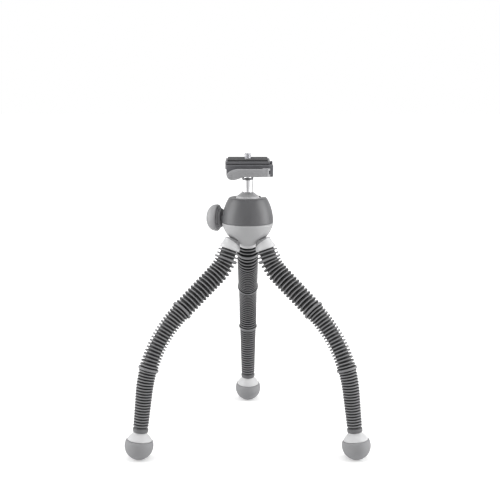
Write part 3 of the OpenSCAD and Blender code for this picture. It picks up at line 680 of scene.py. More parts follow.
                # The cuff takes one rim value all over: its colour lies cuff_shade of the way from the groove
                # colour to the rubber's, evenly darker
                rim = np.r_[rim, np.full(len(band_s), self.cuff_shade)]
            bore_s = np.linspace(self.cuff_stop if last else stop, start, self.bore_rings)
            s, radius = np.r_[s, bore_s], np.r_[radius, self.core(bore_s) - self.wall]
            # The bore takes rim value 0: painted groove shadow inside the sleeve
            rim = np.r_[rim, np.zeros(len(bore_s))]
            points = LINE.sweep(s, radius, turn)
            piece = make_piece(
                f"{name}_ribbed_sleeve_{number}",
                [grid_patch(points, loop=True)],
                SLEEVE_RUBBER,
                [f"{name}_sleeve_{number}"],
                np.repeat(rim, points.shape[1]),
            )
            first = max(self.hinge(number) - self.bend_reach, 0.0)
            ends = [LINE.spot(s, turn) for s in (first, self.hinge(number) + self.bend_reach)]
            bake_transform(piece)


@dataclass(frozen=True)
class Foot:
    """A leg's foot: a pale cap on a rubber ball."""

    leg: Leg
    centre_at: float = float(LINE.marks[-1])
    pad_radius: float = LINE.pad_radius
    seam: float = 5.3
    seam_radius: float = 12.0
    seam_lead: float = 0.7
    seam_gap: float = 0.12
    lip_in: float = 1.5
    lip_edge: float = 0.45
    side_span: Span = (0.12, 0.92)
    side_swell: float = 0.55
    foot_edge: float = 0.55
    neck: float = 12.0
    neck_radius: float = 6.7
    neck_lip: float = 1.2
    neck_edge: float = 0.25
    wall: float = 1.0
    ball_points: int = 48
    side_points: int = 16

    def pad_profile(self) -> Array:
        """A sphere from its pole up to the seam, where a rounded lip turns in under the cap."""
        edge = math.degrees(math.asin((self.seam - self.seam_lead) / self.pad_radius))
        turn = np.radians(np.linspace(-90.0, edge, self.ball_points))
        ball = self.pad_radius * np.column_stack([np.cos(turn), np.sin(turn)])
        lip_radius = math.sqrt(self.pad_radius**2 - self.seam**2)
        corners = [
            (*ball[-1], 0.0),
            (lip_radius, self.seam, self.lip_edge),
            (self.seam_radius - self.lip_in, self.seam, 0.0),
        ]
        return np.vstack([ball[:-1], rounded(corners), [[0.0, self.seam]]])

    def cap_profile(self) -> Array:
        """A swelling cone from the seam to the neck, with a rounded edge below and a thin lip above."""
        low, high, bore = self.seam + self.seam_gap, self.neck, self.neck_radius - self.wall
        share = np.linspace(*self.side_span, self.side_points)
        radius = self.seam_radius + (self.neck_radius - self.seam_radius) * share
        swell = self.side_swell * np.sin(math.pi * share)
        side = np.column_stack([radius + swell, low + (high - low) * share])
        foot = rounded([(0.0, low, 0.0), (self.seam_radius, low, self.foot_edge), (*side[0], 0.0)])
        lip = [
            (*side[-1], 0.0),
            (self.neck_radius, high, self.neck_edge),
            (self.neck_radius, high + self.neck_lip, self.neck_edge),
            (bore, high + self.neck_lip, 0.0),
            (bore, low + self.wall, 0.0),
            (0.0, low + self.wall, 0.0),
        ]
        return np.vstack([foot[:-1], side[:-1], rounded(lip)])

    def build(self) -> None:
        """Makes the pad and the cap on the leg's last link."""
        name, turn = self.leg.value
        place = LINE.place(self.centre_at, turn)
        ball, cone = (place.carry(revolve(line)) for line in (self.pad_profile(), self.cap_profile()))
        pad = make_piece(f"{name}_rubber_foot", [ball], FOOT_RUBBER, [f"{name}_foot_pad"])
        cap = make_piece(f"{name}_foot_cone", [cone], CAP_PLASTIC, [f"{name}_foot_cap"])
        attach(pad, f"{name}_5")
        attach(cap, f"{name}_5")


@dataclass(frozen=True)
class Shells:
    """The head's two shells: the dark dome with its ball opening and portrait notch, and the light bowl."""

    radius: float = 24.65
    crown_height: float = 35.0
    crown_power: float = 2.0
    dome_top: float = 24.1
    dome_edge: float = 1.6
    bowl_depth: float = 23.6
    bowl_power: float = 1.7
    wall: float = 2.6
    opening_radius: float = 12.0
    opening_edge: float = 0.5
    socket_radius: float = 13.1
    socket_height: float = 18.0
    ball_height: float = 17.7
    ledge: float = 3.0
    ledge_foot: float = 5.5
    ledge_ease: float = 0.8
    notch_radius: float = 5.3
    notch_turn: float = 30.0
    notch_reach: float = 37.0
    seam_gap: float = 0.12
    seam_edge: float = 0.3
    dome_lead: float = 0.6
    bowl_lead: float = 0.7
    spigot_gap: float = 0.05
    spigot_height: float = 4.6
    spigot_wall: float = 1.5
    sides: int = 128
    crown_points: int = 44
    socket_points: int = 16
    notch_points: int = 25
    bowl_points: int = 64

    def build_dome(self) -> None:
        """Makes the dome: a cut ellipse, a rounded rim, the ball's socket and the inside, less the notch.

        The socket is a zone of a sphere round the ball's centre, from the opening down to socket_height.
        """
        stop = math.degrees(math.asin((self.dome_top - self.dome_edge) / self.crown_height))
        crown = bulge(self.radius, self.crown_height, self.crown_power, 0.0, stop, self.crown_points)
        crown = crown[crown[:, 1] > self.dome_lead]
        shoulder = self.radius * math.sqrt(1 - (self.dome_top / self.crown_height) ** 2)
        inner, low = self.radius - self.wall, self.seam_gap
        edge = rounded([(inner, low, 0.0), (self.radius, low, self.seam_edge), (*crown[0], 0.0)])
        rim = [
            (*crown[-1], 0.0),
            (shoulder, self.dome_top, self.dome_edge),
            (self.opening_radius, self.dome_top, self.opening_edge),
        ]
        top = math.sqrt(self.socket_radius**2 - self.opening_radius**2)
        lift = np.linspace(top, self.socket_height - self.ball_height, self.socket_points)
        across = np.sqrt(self.socket_radius**2 - lift**2)
        socket = np.column_stack([across, self.ball_height + lift, np.zeros_like(lift)])
        inside = [
            (inner - self.ledge, self.socket_height, self.ledge_ease),
            (inner, self.ledge_foot, self.ledge_ease),
            (inner, low, 0.0),
        ]
        profile = np.vstack([edge[:-1], crown[:-1], rounded(np.vstack([rim, socket, inside]))[:-1]])
        patch = upright(0, 0, SEAM).carry(revolve(profile, self.sides, loop=True))
        piece = make_piece("dome", [patch], DOME_PAINT, ["upper_shell"])
        arc = np.radians(np.linspace(-180.0, 0.0, self.notch_points))
        notch = self.notch_radius * np.column_stack([np.cos(arc), np.sin(arc)])
        mouth = [[self.notch_radius, self.crown_height], [-self.notch_radius, self.crown_height]]
        groove = prism(np.vstack([notch, mouth]), 0.0, self.notch_reach)
        place = Place(np.array([0, 0, SEAM + self.ball_height]), turned(self.notch_turn))
        carve(piece, place.carry(groove))
        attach(piece, "head")

    def build_bowl(self) -> None:
        """Makes the bowl: a superellipse up to the seam, a rounded edge and a spigot inside the dome."""
        shell = bulge(self.radius, -self.bowl_depth, self.bowl_power, 90.0, 0.0, self.bowl_points)
        shell = shell[shell[:, 1] < -self.bowl_lead]
        spigot = self.radius - self.wall - self.spigot_gap
        edge = [
            (*shell[-1], 0.0),
            (self.radius, -self.seam_gap, self.seam_edge),
            (spigot, -self.seam_gap, 0.0),
            (spigot, self.spigot_height, self.seam_edge),
            (spigot - self.spigot_wall, self.spigot_height, 0.0),
            (0.0, 0.0, 0.0),
        ]
        profile = np.vstack([shell[:-1], rounded(edge)])
        patch = upright(0, 0, SEAM).carry(revolve(profile, self.sides))
        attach(make_piece("bowl", [patch], BOWL_PAINT, ["lower_shell"]), "head")

    def build(self) -> None:
        """Makes both shells."""
        self.build_dome()
        self.build_bowl()


@dataclass(frozen=True)
class Socket:
    """The pale conical socket that holds a leg under the bowl, with a grey rubber skin on the bowl round its
    top that paints the shade in the crevice between them.
    """

    leg: Leg
    shells: Shells
    foot_radius: float = 9.75
    top_radius: float = 7.2
    length: float = 9.0
    rim: float = 1.2
    drop: float = 1.5
    side_share: float = 0.94
    waist: float = 0.3
    foot_edge: float = 0.5
    top_edge: float = 0.4
    # How far the painted shade skin, a grey rubber sheet standing in for the shade round the socket, stands
    # out from the bowl
    painted_shade_skin: float = 3.8
    painted_shade_from: float = 6.0
    proud: float = 0.12
    sides: int = 64
    side_points: int = 16

    def cone(self, grow: float) -> Patch:
        """The socket's shape, grown all round: a straight rim at its foot, a shallow waist and a flat top."""
        share = np.linspace(0.0, self.side_share, self.side_points)
        radius = self.foot_radius + (self.top_radius - self.foot_radius) * share
        radius -= self.waist * np.sin(math.pi * share)
        side = np.column_stack([radius + grow, self.rim + (self.length - self.rim) * share])
        low, high = -self.drop, self.length + grow
        foot = rounded([(0.0, low, 0.0), (self.foot_radius + grow, low, self.foot_edge), (*side[0], 0.0)])
        top = rounded([(*side[-1], 0.0), (self.top_radius + grow, high, self.top_edge), (0.0, high, 0.0)])
        profile = np.vstack([foot[:-1], side[:-1], top])
        return LINE.place(0.0, self.leg.value[1]).carry(revolve(profile, self.sides))

    def build(self) -> None:
        """Makes the cone, and a painted shade: a grey rubber skin over the bowl, kept where it lies within
        the grown cone, for the shade between socket and bowl.
        """
        name, bowl = self.leg.value[0], self.shells
        nodes = [f"{name}_collar"]
        cone = make_piece(f"{name}_socket", [self.cone(0.0)], COLLAR_PAINT, nodes)
        outline = (bowl.radius, -bowl.bowl_depth, bowl.bowl_power)
        skin = bulge(*outline, 90.0, self.painted_shade_from, bowl.bowl_points)
        skin *= 1 + self.painted_shade_skin / bowl.bowl_depth
        profile = np.vstack([skin, [[0.0, skin[-1, 1]]]])
        patch = upright(0, 0, SEAM).carry(revolve(profile))
        # A mid-grey rubber skin round the socket's top: painted shade for the crevice between socket and bowl
        painted_shade_skin = make_piece(f"{name}_saddle", [patch], FOOT_RUBBER, nodes)
        carve(painted_shade_skin, self.cone(self.proud), keep=True)
        for piece in (cone, painted_shade_skin):
            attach(piece, "head")


@dataclass(frozen=True)
class Neck:
    """The polished stem on the ball: a flared skirt, a bright stem and a ring under the clamp."""

    ball_height: float = 17.7
    ball_radius: float = 12.97
    skirt_height: float = 24.63
    skirt_top: float = 29.7
    skirt_gap: float = 0.02
    skirt_inset: float = 0.1
    skirt_proud: float = 0.25
    rim_height: float = 1.0
    stem_radius: float = 4.75
    stem_top: float = 41.2
    stem_edge: float = 0.3
    sunk: float = 0.3
    ring_radius: float = 5.3
    ring_height: float = 2.0
    ring_gap: float = 0.05
    ring_play: float = 0.1
    ring_edge: float = 0.35
    spigot_radius: float = 4.0
    spigot_top: float = 47.9
    small_edge: float = 0.2
    rim_points: int = 8

    @staticmethod
    def turn_piece(name: str, line: Array, finish: Finish, slot: str, node: str, loop: bool = True) -> None:
        """Makes a piece by turning its outline round the stem's axis, and lets it ride on the ball."""
        patch = upright(0, 0, SEAM).carry(revolve(line, loop=loop))
        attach(make_piece(name, [patch], finish, [node]), "ball")

    def build(self) -> None:
        """Makes the stem, the painted skirt round its foot, the skirt's rim and the ring.

        The rim is a zone of the ball's own sphere, so it stays within the dome's socket as the ball turns.
        """
        foot, inner = self.skirt_height + self.rim_height, self.stem_radius - self.sunk
        zone = np.linspace(self.skirt_height, foot, self.rim_points)
        sphere = np.column_stack([np.sqrt(self.ball_radius**2 - (zone - self.ball_height) ** 2), zone])
        stem = [
            (0.0, self.skirt_height, 0.0),
            (self.stem_radius, self.skirt_height, 0.0),
            (self.stem_radius, self.stem_top, self.stem_edge),
            (self.spigot_radius, self.stem_top, 0.0),
            (self.spigot_radius, self.spigot_top, self.small_edge),
            (0.0, self.spigot_top, 0.0),
        ]
        rim = np.vstack([[[inner, self.skirt_height]], sphere, [[inner, foot]]])
        skirt = [
            (inner, foot + self.skirt_gap, 0.0),
            (sphere[-1, 0] - self.skirt_inset, foot + self.skirt_gap, self.skirt_inset),
            (self.stem_radius + self.skirt_proud, self.skirt_top, self.small_edge),
            (inner, self.skirt_top, 0.0),
        ]
        bore = self.spigot_radius + self.ring_play
        low, high = self.stem_top + self.ring_gap, self.stem_top + self.ring_height
        ring = [
            (bore, low, 0.0),
            (self.ring_radius, low, self.ring_edge),
            (self.ring_radius, high, self.ring_edge),
            (bore, high, 0.0),
        ]
        self.turn_piece("bright_stem", rounded(stem), POLISHED_STEEL, "polished_steel", "stem", loop=False)
        # The rim takes the ball's pale paint, paler than the skirt; the pale band also paints the highlight
        # where the edge catches the top light
        self.turn_piece("skirt_rim", rim, COLLAR_PAINT, "collar_paint", "stem")
        self.turn_piece("flared_skirt", rounded(skirt), BOWL_PAINT, "bowl_paint", "stem")
        # The ring's darker colour is partly painted shade, for its place under the clamp
        self.turn_piece("stem_ring", rounded(ring), SHADED_SATIN_NICKEL, "polished_steel", "stem_collar")


@dataclass(frozen=True)
class Knob:
    """The lock knob: a domed cap on a darker stepped base, along its own axis from the head's axis."""

    turn: float = 165.0
    height: float = 3.2
    base_at: float = 25.55
    cap_at: float = 29.15
    end_at: float = 40.65
    cap_radius: float = 13.0
    cap_power: float = 2.4
    cap_rise: float = 1.2
    cap_gap: float = 0.1
    cap_edge: float = 0.5
    base_radius: float = 10.4
    base_flare: float = 0.2
    base_foot: float = 8.75
    foot_edge: float = 0.4
    step_out: float = 1.0
    step_at: float = 1.4
    groove_depth: float = 0.6
    groove_span: Span = (1.6, 2.2)
    groove_edge: float = 0.1
    base_edge: float = 0.2

    @property
    def place(self) -> Place:
        """The knob's frame: Z outwards along its axis."""
        axes = np.array([[0, 0, -1], [0, 1, 0], [1, 0, 0]]) @ turned(self.turn)
        return Place(np.array([0, 0, SEAM + self.height]), axes)

    def build(self) -> None:
        """Makes the cap, half a superellipse over a rounded back, and the base, a cone with a ring groove."""
        rise, back = self.cap_at + self.cap_rise, self.cap_at + self.cap_gap
        crown = bulge(self.cap_radius, self.end_at - rise, self.cap_power) + [0.0, rise]
        edge = [(0.0, back, 0.0), (self.cap_radius - self.cap_edge, back, self.cap_edge), (*crown[0], 0.0)]
        cap = np.vstack([rounded(edge)[:-1], crown])
        step, low = self.base_foot + self.step_out, self.base_at
        groove_low, groove_high = (low + at for at in self.groove_span)
        base = [
            (0.0, low, 0.0),
            (self.base_foot, low, self.foot_edge),
            (step, low + self.step_at, self.base_edge),
            (step - self.groove_depth, groove_low, self.groove_edge),
            (step - self.groove_depth, groove_high, self.groove_edge),
            (self.base_radius, groove_high + self.base_edge, self.base_edge),
            (self.base_radius + self.base_flare, self.cap_at, self.base_edge),
            (0.0, self.cap_at, 0.0),
        ]
        dome, foot = (self.place.carry(revolve(line)) for line in (cap, rounded(base)))
        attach(make_piece("knob_dome", [dome], KNOB_PLASTIC, ["knob_cap"]), "knob")
        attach(make_piece("knob_foot", [foot], KNOB_DARK, ["knob_base"]), "knob")


@dataclass(frozen=True)
class Clamp:
    """The quick release clamp: base and front jaw with a dovetail between them, and the cam lever."""

    bottom: float = SEAM + 45.0
    floor: float = 7.5
    jaw_height: float = 4.7
    jaw_in: float = 17.3
    jaw_lip: float = 14.8
    jaw_out: float = 20.5
    jaw_low: float = 2.6
    base_front: float = 14.0
    base_bevel: float = 3.0
    gap: float = 0.3
    edge: float = 1.1
    slope: float = 2.5
    left: float = -20.0
    right: float = 24.0
    pin_x: float = 17.4
    pin_y: float = -25.5
    cam_radius: float = 3.65
    cam_throw: float = 1.0
    lever_low: float = 2.0
    lever_height: float = 7.5
    bar_half: float = 1.5
    bar_bow: float = 2.24
    reach: float = 31.5
    paddle_radius: float = 5.3
    paddle_half: float = 2.0
    paddle_drop: float = 3.0
    paddle_ease: float = 12.5
    paddle_slope: float = 2.4
    bar_past: float = 2.2
    bar_gap: float = 0.2
    bar_power: float = 5.0
    bar_start: float = 0.75
    boss_inset: float = 0.15
    boss_edge: float = 0.5
    rod_radius: float = 1.4
    eased: float = 0.45
    bar_points: int = 64
    tip_points: int = 12
    bar_sides: int = 32
    rod_sides: int = 32
    boss_sides: int = 64

    def hook(self, side: float) -> list[list[float]]:
        """The dovetail lip's corners on one side, from its foot to its outer top edge."""
        low = self.bottom + self.floor
        return [
            [side * self.jaw_in, low + self.edge],
            [side * self.jaw_lip, low + self.edge + self.slope],
            [side * self.jaw_lip, low + self.jaw_height],
            [side * self.jaw_out, low + self.jaw_height],
        ]

    def build_jaws(self) -> None:
        """Makes the base and the jaw: their outlines carried along X, with eased edges."""
        low, floor, bevel = self.bottom, self.bottom + self.floor, self.base_bevel
        front, back = -self.base_front, -self.base_front - self.gap
        base = [[front + bevel, low], [front, low + bevel], [front, floor], [self.jaw_in, floor]]
        base += self.hook(1.0)
        base += [[self.jaw_out, low + bevel], [self.jaw_out - bevel, low]]
        foot = low + self.jaw_low
        jaw = [[-self.jaw_out, foot], [back, foot], [back, floor], [-self.jaw_in, floor]]
        jaw += self.hook(-1.0)
        base_patch, jaw_patch = (prism(np.array(line), self.left, self.right) for line in (base, jaw))
        body = make_piece(
            "clamp_body", [base_patch, self.rod_patch()], CLAMP_ANODISED, ["clamp_base"]
        )
        grip = make_piece("clamp_front_jaw", [jaw_patch], CLAMP_ANODISED, ["clamp_jaw"])
        for piece, carrier in ((body, "clamp"), (grip, "jaw")):
            ease_edges(piece, self.eased)
            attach(piece, carrier)

    def rod_patch(self) -> Patch:
        """The pull rod, a plain round bar from the base's front to the lever's pin."""
        along = Place(
            np.array([self.pin_x, 0, self.bottom + self.lever_low + self.lever_height / 2]),
            np.array([[1, 0, 0], [0, 0, 1], [0, -1, 0]]),
        )
        near, far, r = self.base_front, -self.pin_y, self.rod_radius
        line = np.array([(0.0, near), (r, near), (r, far), (0.0, far)])
        return along.carry(revolve(line, self.rod_sides))

    def bar_patch(self) -> Patch:
        """The lever's bar and thumb paddle: a rounded box section carried from the pin to the paddle's tip.

        The path bows forward as a parabola. The section is a superellipse of bar_power. Its lower edge drops
        by a smooth step into the paddle, its upper edge slopes there, and both ends close as half an ellipse.

        Returns:
            The closed patch.
        """
        tip = np.sin(np.linspace(0.0, math.pi / 2, self.tip_points))
        straight = np.linspace(-self.bar_past, self.reach, self.bar_points)
        far = np.r_[straight, self.reach + self.paddle_radius * tip[1:]]
        share = far / self.reach
        x = self.pin_x - far
        bow = self.bar_bow * np.maximum(1 - (2 * share - 1) ** 2, 0.0)
        y = self.pin_y - self.cam_radius - self.bar_gap - bow
        low, r = self.bottom + self.lever_low, self.paddle_radius
        into = smooth(1 - (self.reach - far) / self.paddle_ease)
        lower = low - self.paddle_drop * into
        upper = low + self.lever_height - self.paddle_slope * smooth((far - self.reach + r) / (2 * r))
        past = np.clip((far - self.reach) / r, 0.0, 1.0)
        close = np.sqrt(np.maximum(1 - past**2, 0.0))
        begin = np.sqrt(1 - (1 - np.clip((far - far[0]) / self.bar_half, 0.0, 1.0)) ** 2)
        half_z = (upper - lower) / 2 * close * (self.bar_start + (1 - self.bar_start) * begin)
        half_y = (self.bar_half + (self.paddle_half - self.bar_half) * into) * np.sqrt(close) * begin
        turn = np.linspace(0.0, 2 * math.pi, self.bar_sides, endpoint=False)
        waves = (np.cos(turn), np.sin(turn))
        across, up = (np.sign(wave) * np.abs(wave) ** (2 / self.bar_power) for wave in waves)
        grid = np.stack(
            [
                np.broadcast_to(x[:, None], (len(x), len(turn))),
                y[:, None] + half_y[:, None] * across,
                ((upper + lower) / 2)[:, None] + half_z[:, None] * up,
            ],
            axis=-1,
        )
        return grid_patch(grid)

    def boss_patches(self) -> list[Patch]:
        """The lever's boss: two discs stretched by the cam's throw, with the pull rod's slot between them."""
        low = self.bottom + self.lever_low + self.boss_inset
        high = self.bottom + self.lever_low + self.lever_height - self.boss_inset
        middle, slot, r, edge = (low + high) / 2, self.rod_radius + self.gap, self.cam_radius, self.boss_edge
        discs = []
        for start, stop in ((low, middle - slot), (middle + slot, high)):
            corners = [(0.0, start, 0.0), (r, start, edge), (r, stop, edge), (0.0, stop, 0.0)]
            patch = revolve(rounded(corners), self.boss_sides)
            patch.points[:, 1] += self.cam_throw * smooth(0.5 + patch.points[:, 1] / (2 * r))
            discs.append(upright(self.pin_x, self.pin_y, 0).carry(patch))
        return discs

    def build(self) -> None:
        """Makes the base, the jaw and the lever."""
        self.build_jaws()
        patches = [self.bar_patch(), *self.boss_patches()]
        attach(make_piece("cam_lever", patches, LEVER_PAINT, ["clamp_lever"]), "lever")


@dataclass(frozen=True)
class ReleasePlate:
    """The quick release plate with its ribbed rubber pad and its mounting screw."""

    bottom: float = SEAM + 52.8
    half_length: float = 21.0
    foot_half: float = 17.0
    neck_half: float = 14.5
    top_half: float = 18.0
    edge: float = 1.1
    slope: float = 2.5
    neck: float = 1.2
    thickness: float = 2.5
    rubber: float = 1.5
    margin: float = 2.0
    eased: float = 0.35
    rib_pitch: float = 2.0
    rib_depth: float = 0.5
    rib_power: float = 0.6
    rib_points: int = 241
    screw_radius: float = 3.175
    screw_out: float = 5.0
    screw_neck: float = 2.5
    thread_pitch: float = 1.27
    thread_depth: float = 0.5
    thread_rings: int = 72
    thread_sides: int = 64
    tip_length: float = 0.9
    tip_share: float = 0.84
    head_radius: float = 8.0
    head_low: float = 0.3
    head_height: float = 2.4
    head_edge: float = 0.4

    @property
    def top(self) -> float:
        """Height of the plate's top, under the rubber."""
        return self.bottom + self.edge + self.slope + self.neck + self.thickness

    def build_plate(self) -> None:
        """Makes the plate: half its dovetail outline, mirrored, carried along X with eased edges."""
        slope = self.bottom + self.edge
        neck = slope + self.slope
        half = np.array(
            [
                [self.foot_half, self.bottom],
                [self.foot_half, slope],
                [self.neck_half, neck],
                [self.neck_half, neck + self.neck],
                [self.top_half, neck + self.neck],
                [self.top_half, self.top],
            ]
        )
        outline = np.vstack([half, half[::-1] * [-1.0, 1.0]])
        patch = prism(outline, -self.half_length, self.half_length)
        piece = make_piece("release_plate", [patch], CLAMP_ANODISED, ["plate"])
        ease_edges(piece, self.eased)
        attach(piece, "plate")

    def build_rubber(self) -> None:
        """Makes the pad: an outline whose top is a row of rounded ribs, carried along X."""
        half = self.top_half - self.margin
        across = np.linspace(-half, half, self.rib_points)
        ribs = np.abs(np.cos(math.pi * across / self.rib_pitch)) ** self.rib_power
        height = self.top + self.rubber - self.rib_depth * (1 - ribs)
        outline = np.vstack([[[half, self.top], [-half, self.top]], np.column_stack([across, height])])
        end = self.half_length - self.margin
        patch = prism(outline, -end, end)
        piece = make_piece("ribbed_pad", [patch], PAD_RUBBER, ["plate_rubber"])
        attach(piece, "plate")

    def build_screw(self) -> None:
        """Makes the mounting screw: a helical thread over a neck and a flat head.

        The thread's radius falls from the screw's own by thread_depth times a wave of height / pitch minus
        turn, and narrows smoothly to tip_share of itself over the tip's length.
        """
        low, high = self.top + self.rubber, self.top + self.rubber + self.screw_out
        turn = np.linspace(0.0, 2 * math.pi, self.thread_sides, endpoint=False)
        z = np.linspace(low, high, self.thread_rings)[:, None]
        wave = 0.5 - 0.5 * np.cos(2 * math.pi * (z / self.thread_pitch) - turn)
        ease = self.tip_share + (1 - self.tip_share) * smooth((high - z) / self.tip_length)
        radius = (self.screw_radius - self.thread_depth * wave) * ease
        rings = [radius * np.cos(turn), radius * np.sin(turn), np.broadcast_to(z, radius.shape)]
        thread = np.stack(rings, axis=-1)
        tip = np.zeros((1, len(turn), 3)) + [0.0, 0.0, high]
        head_low = self.bottom + self.head_low
        head_high = head_low + self.head_height
        corners = [
            (0.0, head_low, 0.0),
            (self.head_radius, head_low, self.head_edge),
            (self.head_radius, head_high, self.head_edge),
            (self.screw_neck, head_high, 0.0),
            (self.screw_neck, low, 0.0),
        ]
        stem = revolve(rounded(corners), len(turn)).points.reshape(-1, len(turn), 3)
        patch = grid_patch(np.vstack([stem, thread, tip]))
        piece = make_piece("camera_thread", [patch], ZINC_STEEL, ["camera_screw"])
        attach(piece, "screw")

    def build(self) -> None:
        """Makes the plate, its pad and its screw."""
        self.build_plate()
        self.build_rubber()
        self.build_screw()


# Pieces of the frame that stay, by finish
KEPT_FINISHES: dict[Finish, tuple[str, ...]] = {
    COLLAR_PAINT: ("ball",),
    ZINC_STEEL: ("leg_nuts", "lock_screw", "clamp_screw", "guide_pins", "lever_pin"),
    TURNED_BRASS: ("lock_pad",),
    NATURAL_NYLON: ("friction_cup",),
    BLACK_NYLON: ("cup_seat",),
    MACHINED_ALUMINIUM: tuple(
        f"{leg.value[0]}_link_{number}" for leg in Leg for number in range(1, Sleeve.lengths + 1)
    ),
}


def dress_kept_nodes() -> None:
    """Gives every node that still shows its finish."""
    for finish, nodes in KEPT_FINISHES.items():
        for name in nodes:
            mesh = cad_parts[name].data
            mesh.materials.clear()
            mesh.materials.append(finish.material())
            LOG.info("%s: finish %s", name, finish.name)


# Studio


def ramp(
    tree: bpy.types.NodeTree, value: bpy.types.NodeSocket, span: Span, ends: Span
) -> bpy.types.NodeSocket:
    """Adds a smooth step from the first of ends to the second, as the value goes through the span."""
    settings = {"interpolation_type": "SMOOTHSTEP", "From Min": span[0], "From Max": span[1]}
    settings |= {"To Min": ends[0], "To Max": ends[1]}
    return add_node(tree, "ShaderNodeMapRange", settings, {"Value": value}).outputs["Result"]


def combine(tree: bpy.types.NodeTree, kind: str, *values: bpy.types.NodeSocket) -> bpy.types.NodeSocket:
    """Adds the product or the greater of two values, by the operation's name."""
    return add_node(tree, "ShaderNodeMath", {"operation": kind}, dict(enumerate(values))).outputs[0]


@dataclass(frozen=True)
class Lamp:
    """A soft rectangular light: its place, width and height in metres, and its power in watts."""

    name: str
    spot: Corner
    size: Span
    watts: float

    def build(self, aim_height: float) -> None:
        """Hangs the light, facing the head's axis at that height in metres."""
        lamp = bpy.data.lights.new(self.name, "AREA")
        lamp.shape, lamp.energy = "RECTANGLE", self.watts
        lamp.size, lamp.size_y = self.size
        light = bpy.data.objects.new(self.name, lamp)
        x, y, z = np.array([0.0, 0.0, aim_height]) - self.spot
        light.location = self.spot
        light.rotation_euler = (math.atan2(math.hypot(x, y), -z), 0.0, math.atan2(y, x) - math.pi / 2)
        bpy.context.scene.collection.objects.link(light)


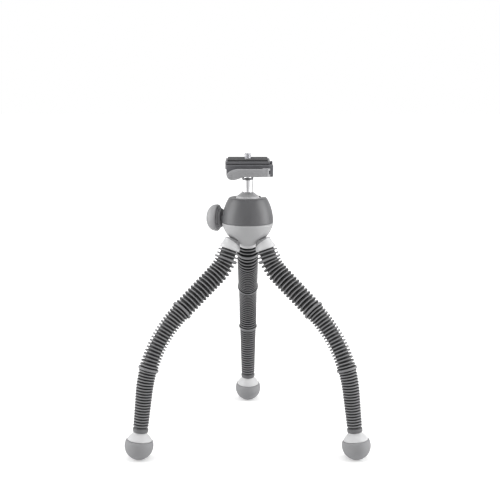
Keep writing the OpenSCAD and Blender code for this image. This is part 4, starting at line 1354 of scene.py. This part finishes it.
@dataclass(frozen=True)
class Studio:
    """A white sweep of floor and sky, two tall side lights, an overhead light and the camera.

    white_span is a distance over the floor in metres. The other spans are directions, as the part of a unit
    step that lies along Y or Z, and the dims are what a reflection keeps of the floor or the sky there.
    """

    focal_px: float = 1050.0
    frame_px: float = 500.0
    sensor_mm: float = 36.0
    near_clip: float = 0.01
    distance: float = 1000.0
    height: float = 373.4
    pitch_degrees: float = 10.39
    aside: float = 2.2
    paper: str = "#f2f2f2"
    floor_half: float = 6.0
    white_span: Span = (0.16, 0.75)
    white_glow: Span = (0.37, 0.95)
    front_span: Span = (-1.0, -0.88)
    behind_span: Span = (0.1, 0.5)
    overhead_span: Span = (0.35, 0.95)
    floor_front_dim: float = 0.2
    floor_behind_dim: float = 0.1
    sky_front_dim: float = 0.5
    sky_overhead_dim: float = 0.35
    fill: float = 0.28
    aim_height: float = 0.14
    lamps: tuple[Lamp, ...] = (
        Lamp("left_light", (-1.3, -0.1, 0.6), (1.0, 1.5), 15.2),
        Lamp("right_light", (1.3, -0.1, 0.6), (1.0, 1.5), 17.6),
        Lamp("top_light", (0.0, -0.3, 1.6), (1.2, 1.2), 11.0),
    )

    def build_camera(self) -> None:
        """Places the camera in front, above the head, looking down by its pitch."""
        lens = bpy.data.cameras.new("camera")
        lens.sensor_width = self.sensor_mm
        lens.lens = self.focal_px / self.frame_px * self.sensor_mm
        lens.clip_start = self.near_clip
        camera = bpy.data.objects.new("camera", lens)
        camera.location = (self.aside * MM, -self.distance * MM, self.height * MM)
        camera.rotation_euler = (math.radians(90.0 - self.pitch_degrees), 0.0, 0.0)
        bpy.context.scene.collection.objects.link(camera)
        bpy.context.scene.camera = camera

    def build_floor(self) -> None:
        """Lays the floor: matte white that takes the shadow, with a white glow that grows outwards.

        The camera sees the whole glow. Reflections see it dimmer straight in front and behind.
        """
        h = self.floor_half
        mesh = bpy.data.meshes.new("floor")
        mesh.from_pydata([(-h, -h, 0), (h, -h, 0), (h, h, 0), (-h, h, 0)], [], [(0, 1, 2, 3)])
        floor = bpy.data.objects.new("floor", mesh)
        bpy.context.scene.collection.objects.link(floor)
        made = bpy.data.materials.new("white_paper_sweep")
        made.use_nodes = True
        tree = made.node_tree
        tree.nodes.clear()
        path = add_node(tree, "ShaderNodeLightPath", {}, {})
        where = add_node(tree, "ShaderNodeTexCoord", {}, {})
        away = add_node(tree, "ShaderNodeVectorMath", {"operation": "LENGTH"}, {0: where.outputs["Object"]})
        far = ramp(tree, away.outputs["Value"], self.white_span, self.white_glow)
        way = add_node(tree, "ShaderNodeVectorMath", {"operation": "NORMALIZE"}, {0: where.outputs["Object"]})
        axes = add_node(tree, "ShaderNodeSeparateXYZ", {}, {0: way.outputs["Vector"]})
        front = ramp(tree, axes.outputs["Y"], self.front_span, (self.floor_front_dim, 1.0))
        behind = ramp(tree, axes.outputs["Y"], self.behind_span, (1.0, self.floor_behind_dim))
        bounced = combine(tree, "MAXIMUM", path.outputs["Is Glossy Ray"], path.outputs["Is Transmission Ray"])
        mirrored = combine(tree, "MULTIPLY", bounced, combine(tree, "MULTIPLY", front, behind))
        seen = combine(tree, "MAXIMUM", path.outputs["Is Camera Ray"], mirrored)
        share = combine(tree, "MULTIPLY", far, seen)
        matte = add_node(tree, "ShaderNodeBsdfDiffuse", {"Color": linear(self.paper)}, {})
        glow = add_node(tree, "ShaderNodeEmission", {}, {"Strength": share})
        both = add_node(tree, "ShaderNodeAddShader", {}, {0: matte.outputs[0], 1: glow.outputs[0]})
        add_node(tree, "ShaderNodeOutputMaterial", {}, {"Surface": both.outputs[0]})
        mesh.materials.append(made)

    def build_world(self) -> None:
        """Makes the sky: white to the camera, an even fill, in reflections dimmer in front and overhead."""
        world = bpy.data.worlds.new("studio")
        bpy.context.scene.world = world
        world.use_nodes = True
        tree = world.node_tree
        tree.nodes.clear()
        path = add_node(tree, "ShaderNodeLightPath", {}, {})
        way = add_node(tree, "ShaderNodeTexCoord", {}, {})
        axes = add_node(tree, "ShaderNodeSeparateXYZ", {}, {0: way.outputs["Generated"]})
        front = ramp(tree, axes.outputs["Y"], self.front_span, (self.sky_front_dim, 1.0))
        overhead = ramp(tree, axes.outputs["Z"], self.overhead_span, (1.0, self.sky_overhead_dim))
        mirrored = combine(tree, "MULTIPLY", front, overhead)
        glossy = add_node(
            tree, "ShaderNodeMix", {"A": self.fill}, {"Factor": path.outputs["Is Glossy Ray"], "B": mirrored}
        )
        seen = combine(tree, "MAXIMUM", path.outputs["Is Camera Ray"], path.outputs["Is Transmission Ray"])
        strength = add_node(tree, "ShaderNodeMix", {"B": 1.0}, {"Factor": seen, "A": glossy.outputs[0]})
        sky = add_node(
            tree, "ShaderNodeBackground", {"Color": (1.0, 1.0, 1.0, 1.0)}, {"Strength": strength.outputs[0]}
        )
        add_node(tree, "ShaderNodeOutputWorld", {}, {"Surface": sky.outputs[0]})

    def build(self) -> None:
        """Sets up the camera, the floor, the sky and the lights."""
        bpy.context.scene.view_settings.view_transform = "Standard"
        self.build_camera()
        self.build_floor()
        self.build_world()
        for lamp in self.lamps:
            lamp.build(self.aim_height)


def main() -> None:
    """Builds the studio and every sub-assembly in order."""
    logging.basicConfig(level=logging.INFO, format="%(name)s %(message)s")
    Studio().build()
    shells = Shells()
    for assembly in (shells, Neck(), Knob(), Clamp(), ReleasePlate()):
        assembly.build()
    for leg in Leg:
        for part in (Socket(leg, shells), Sleeve(leg), Foot(leg)):
            part.build()
    dress_kept_nodes()


if __name__ == "__main__":
    main()
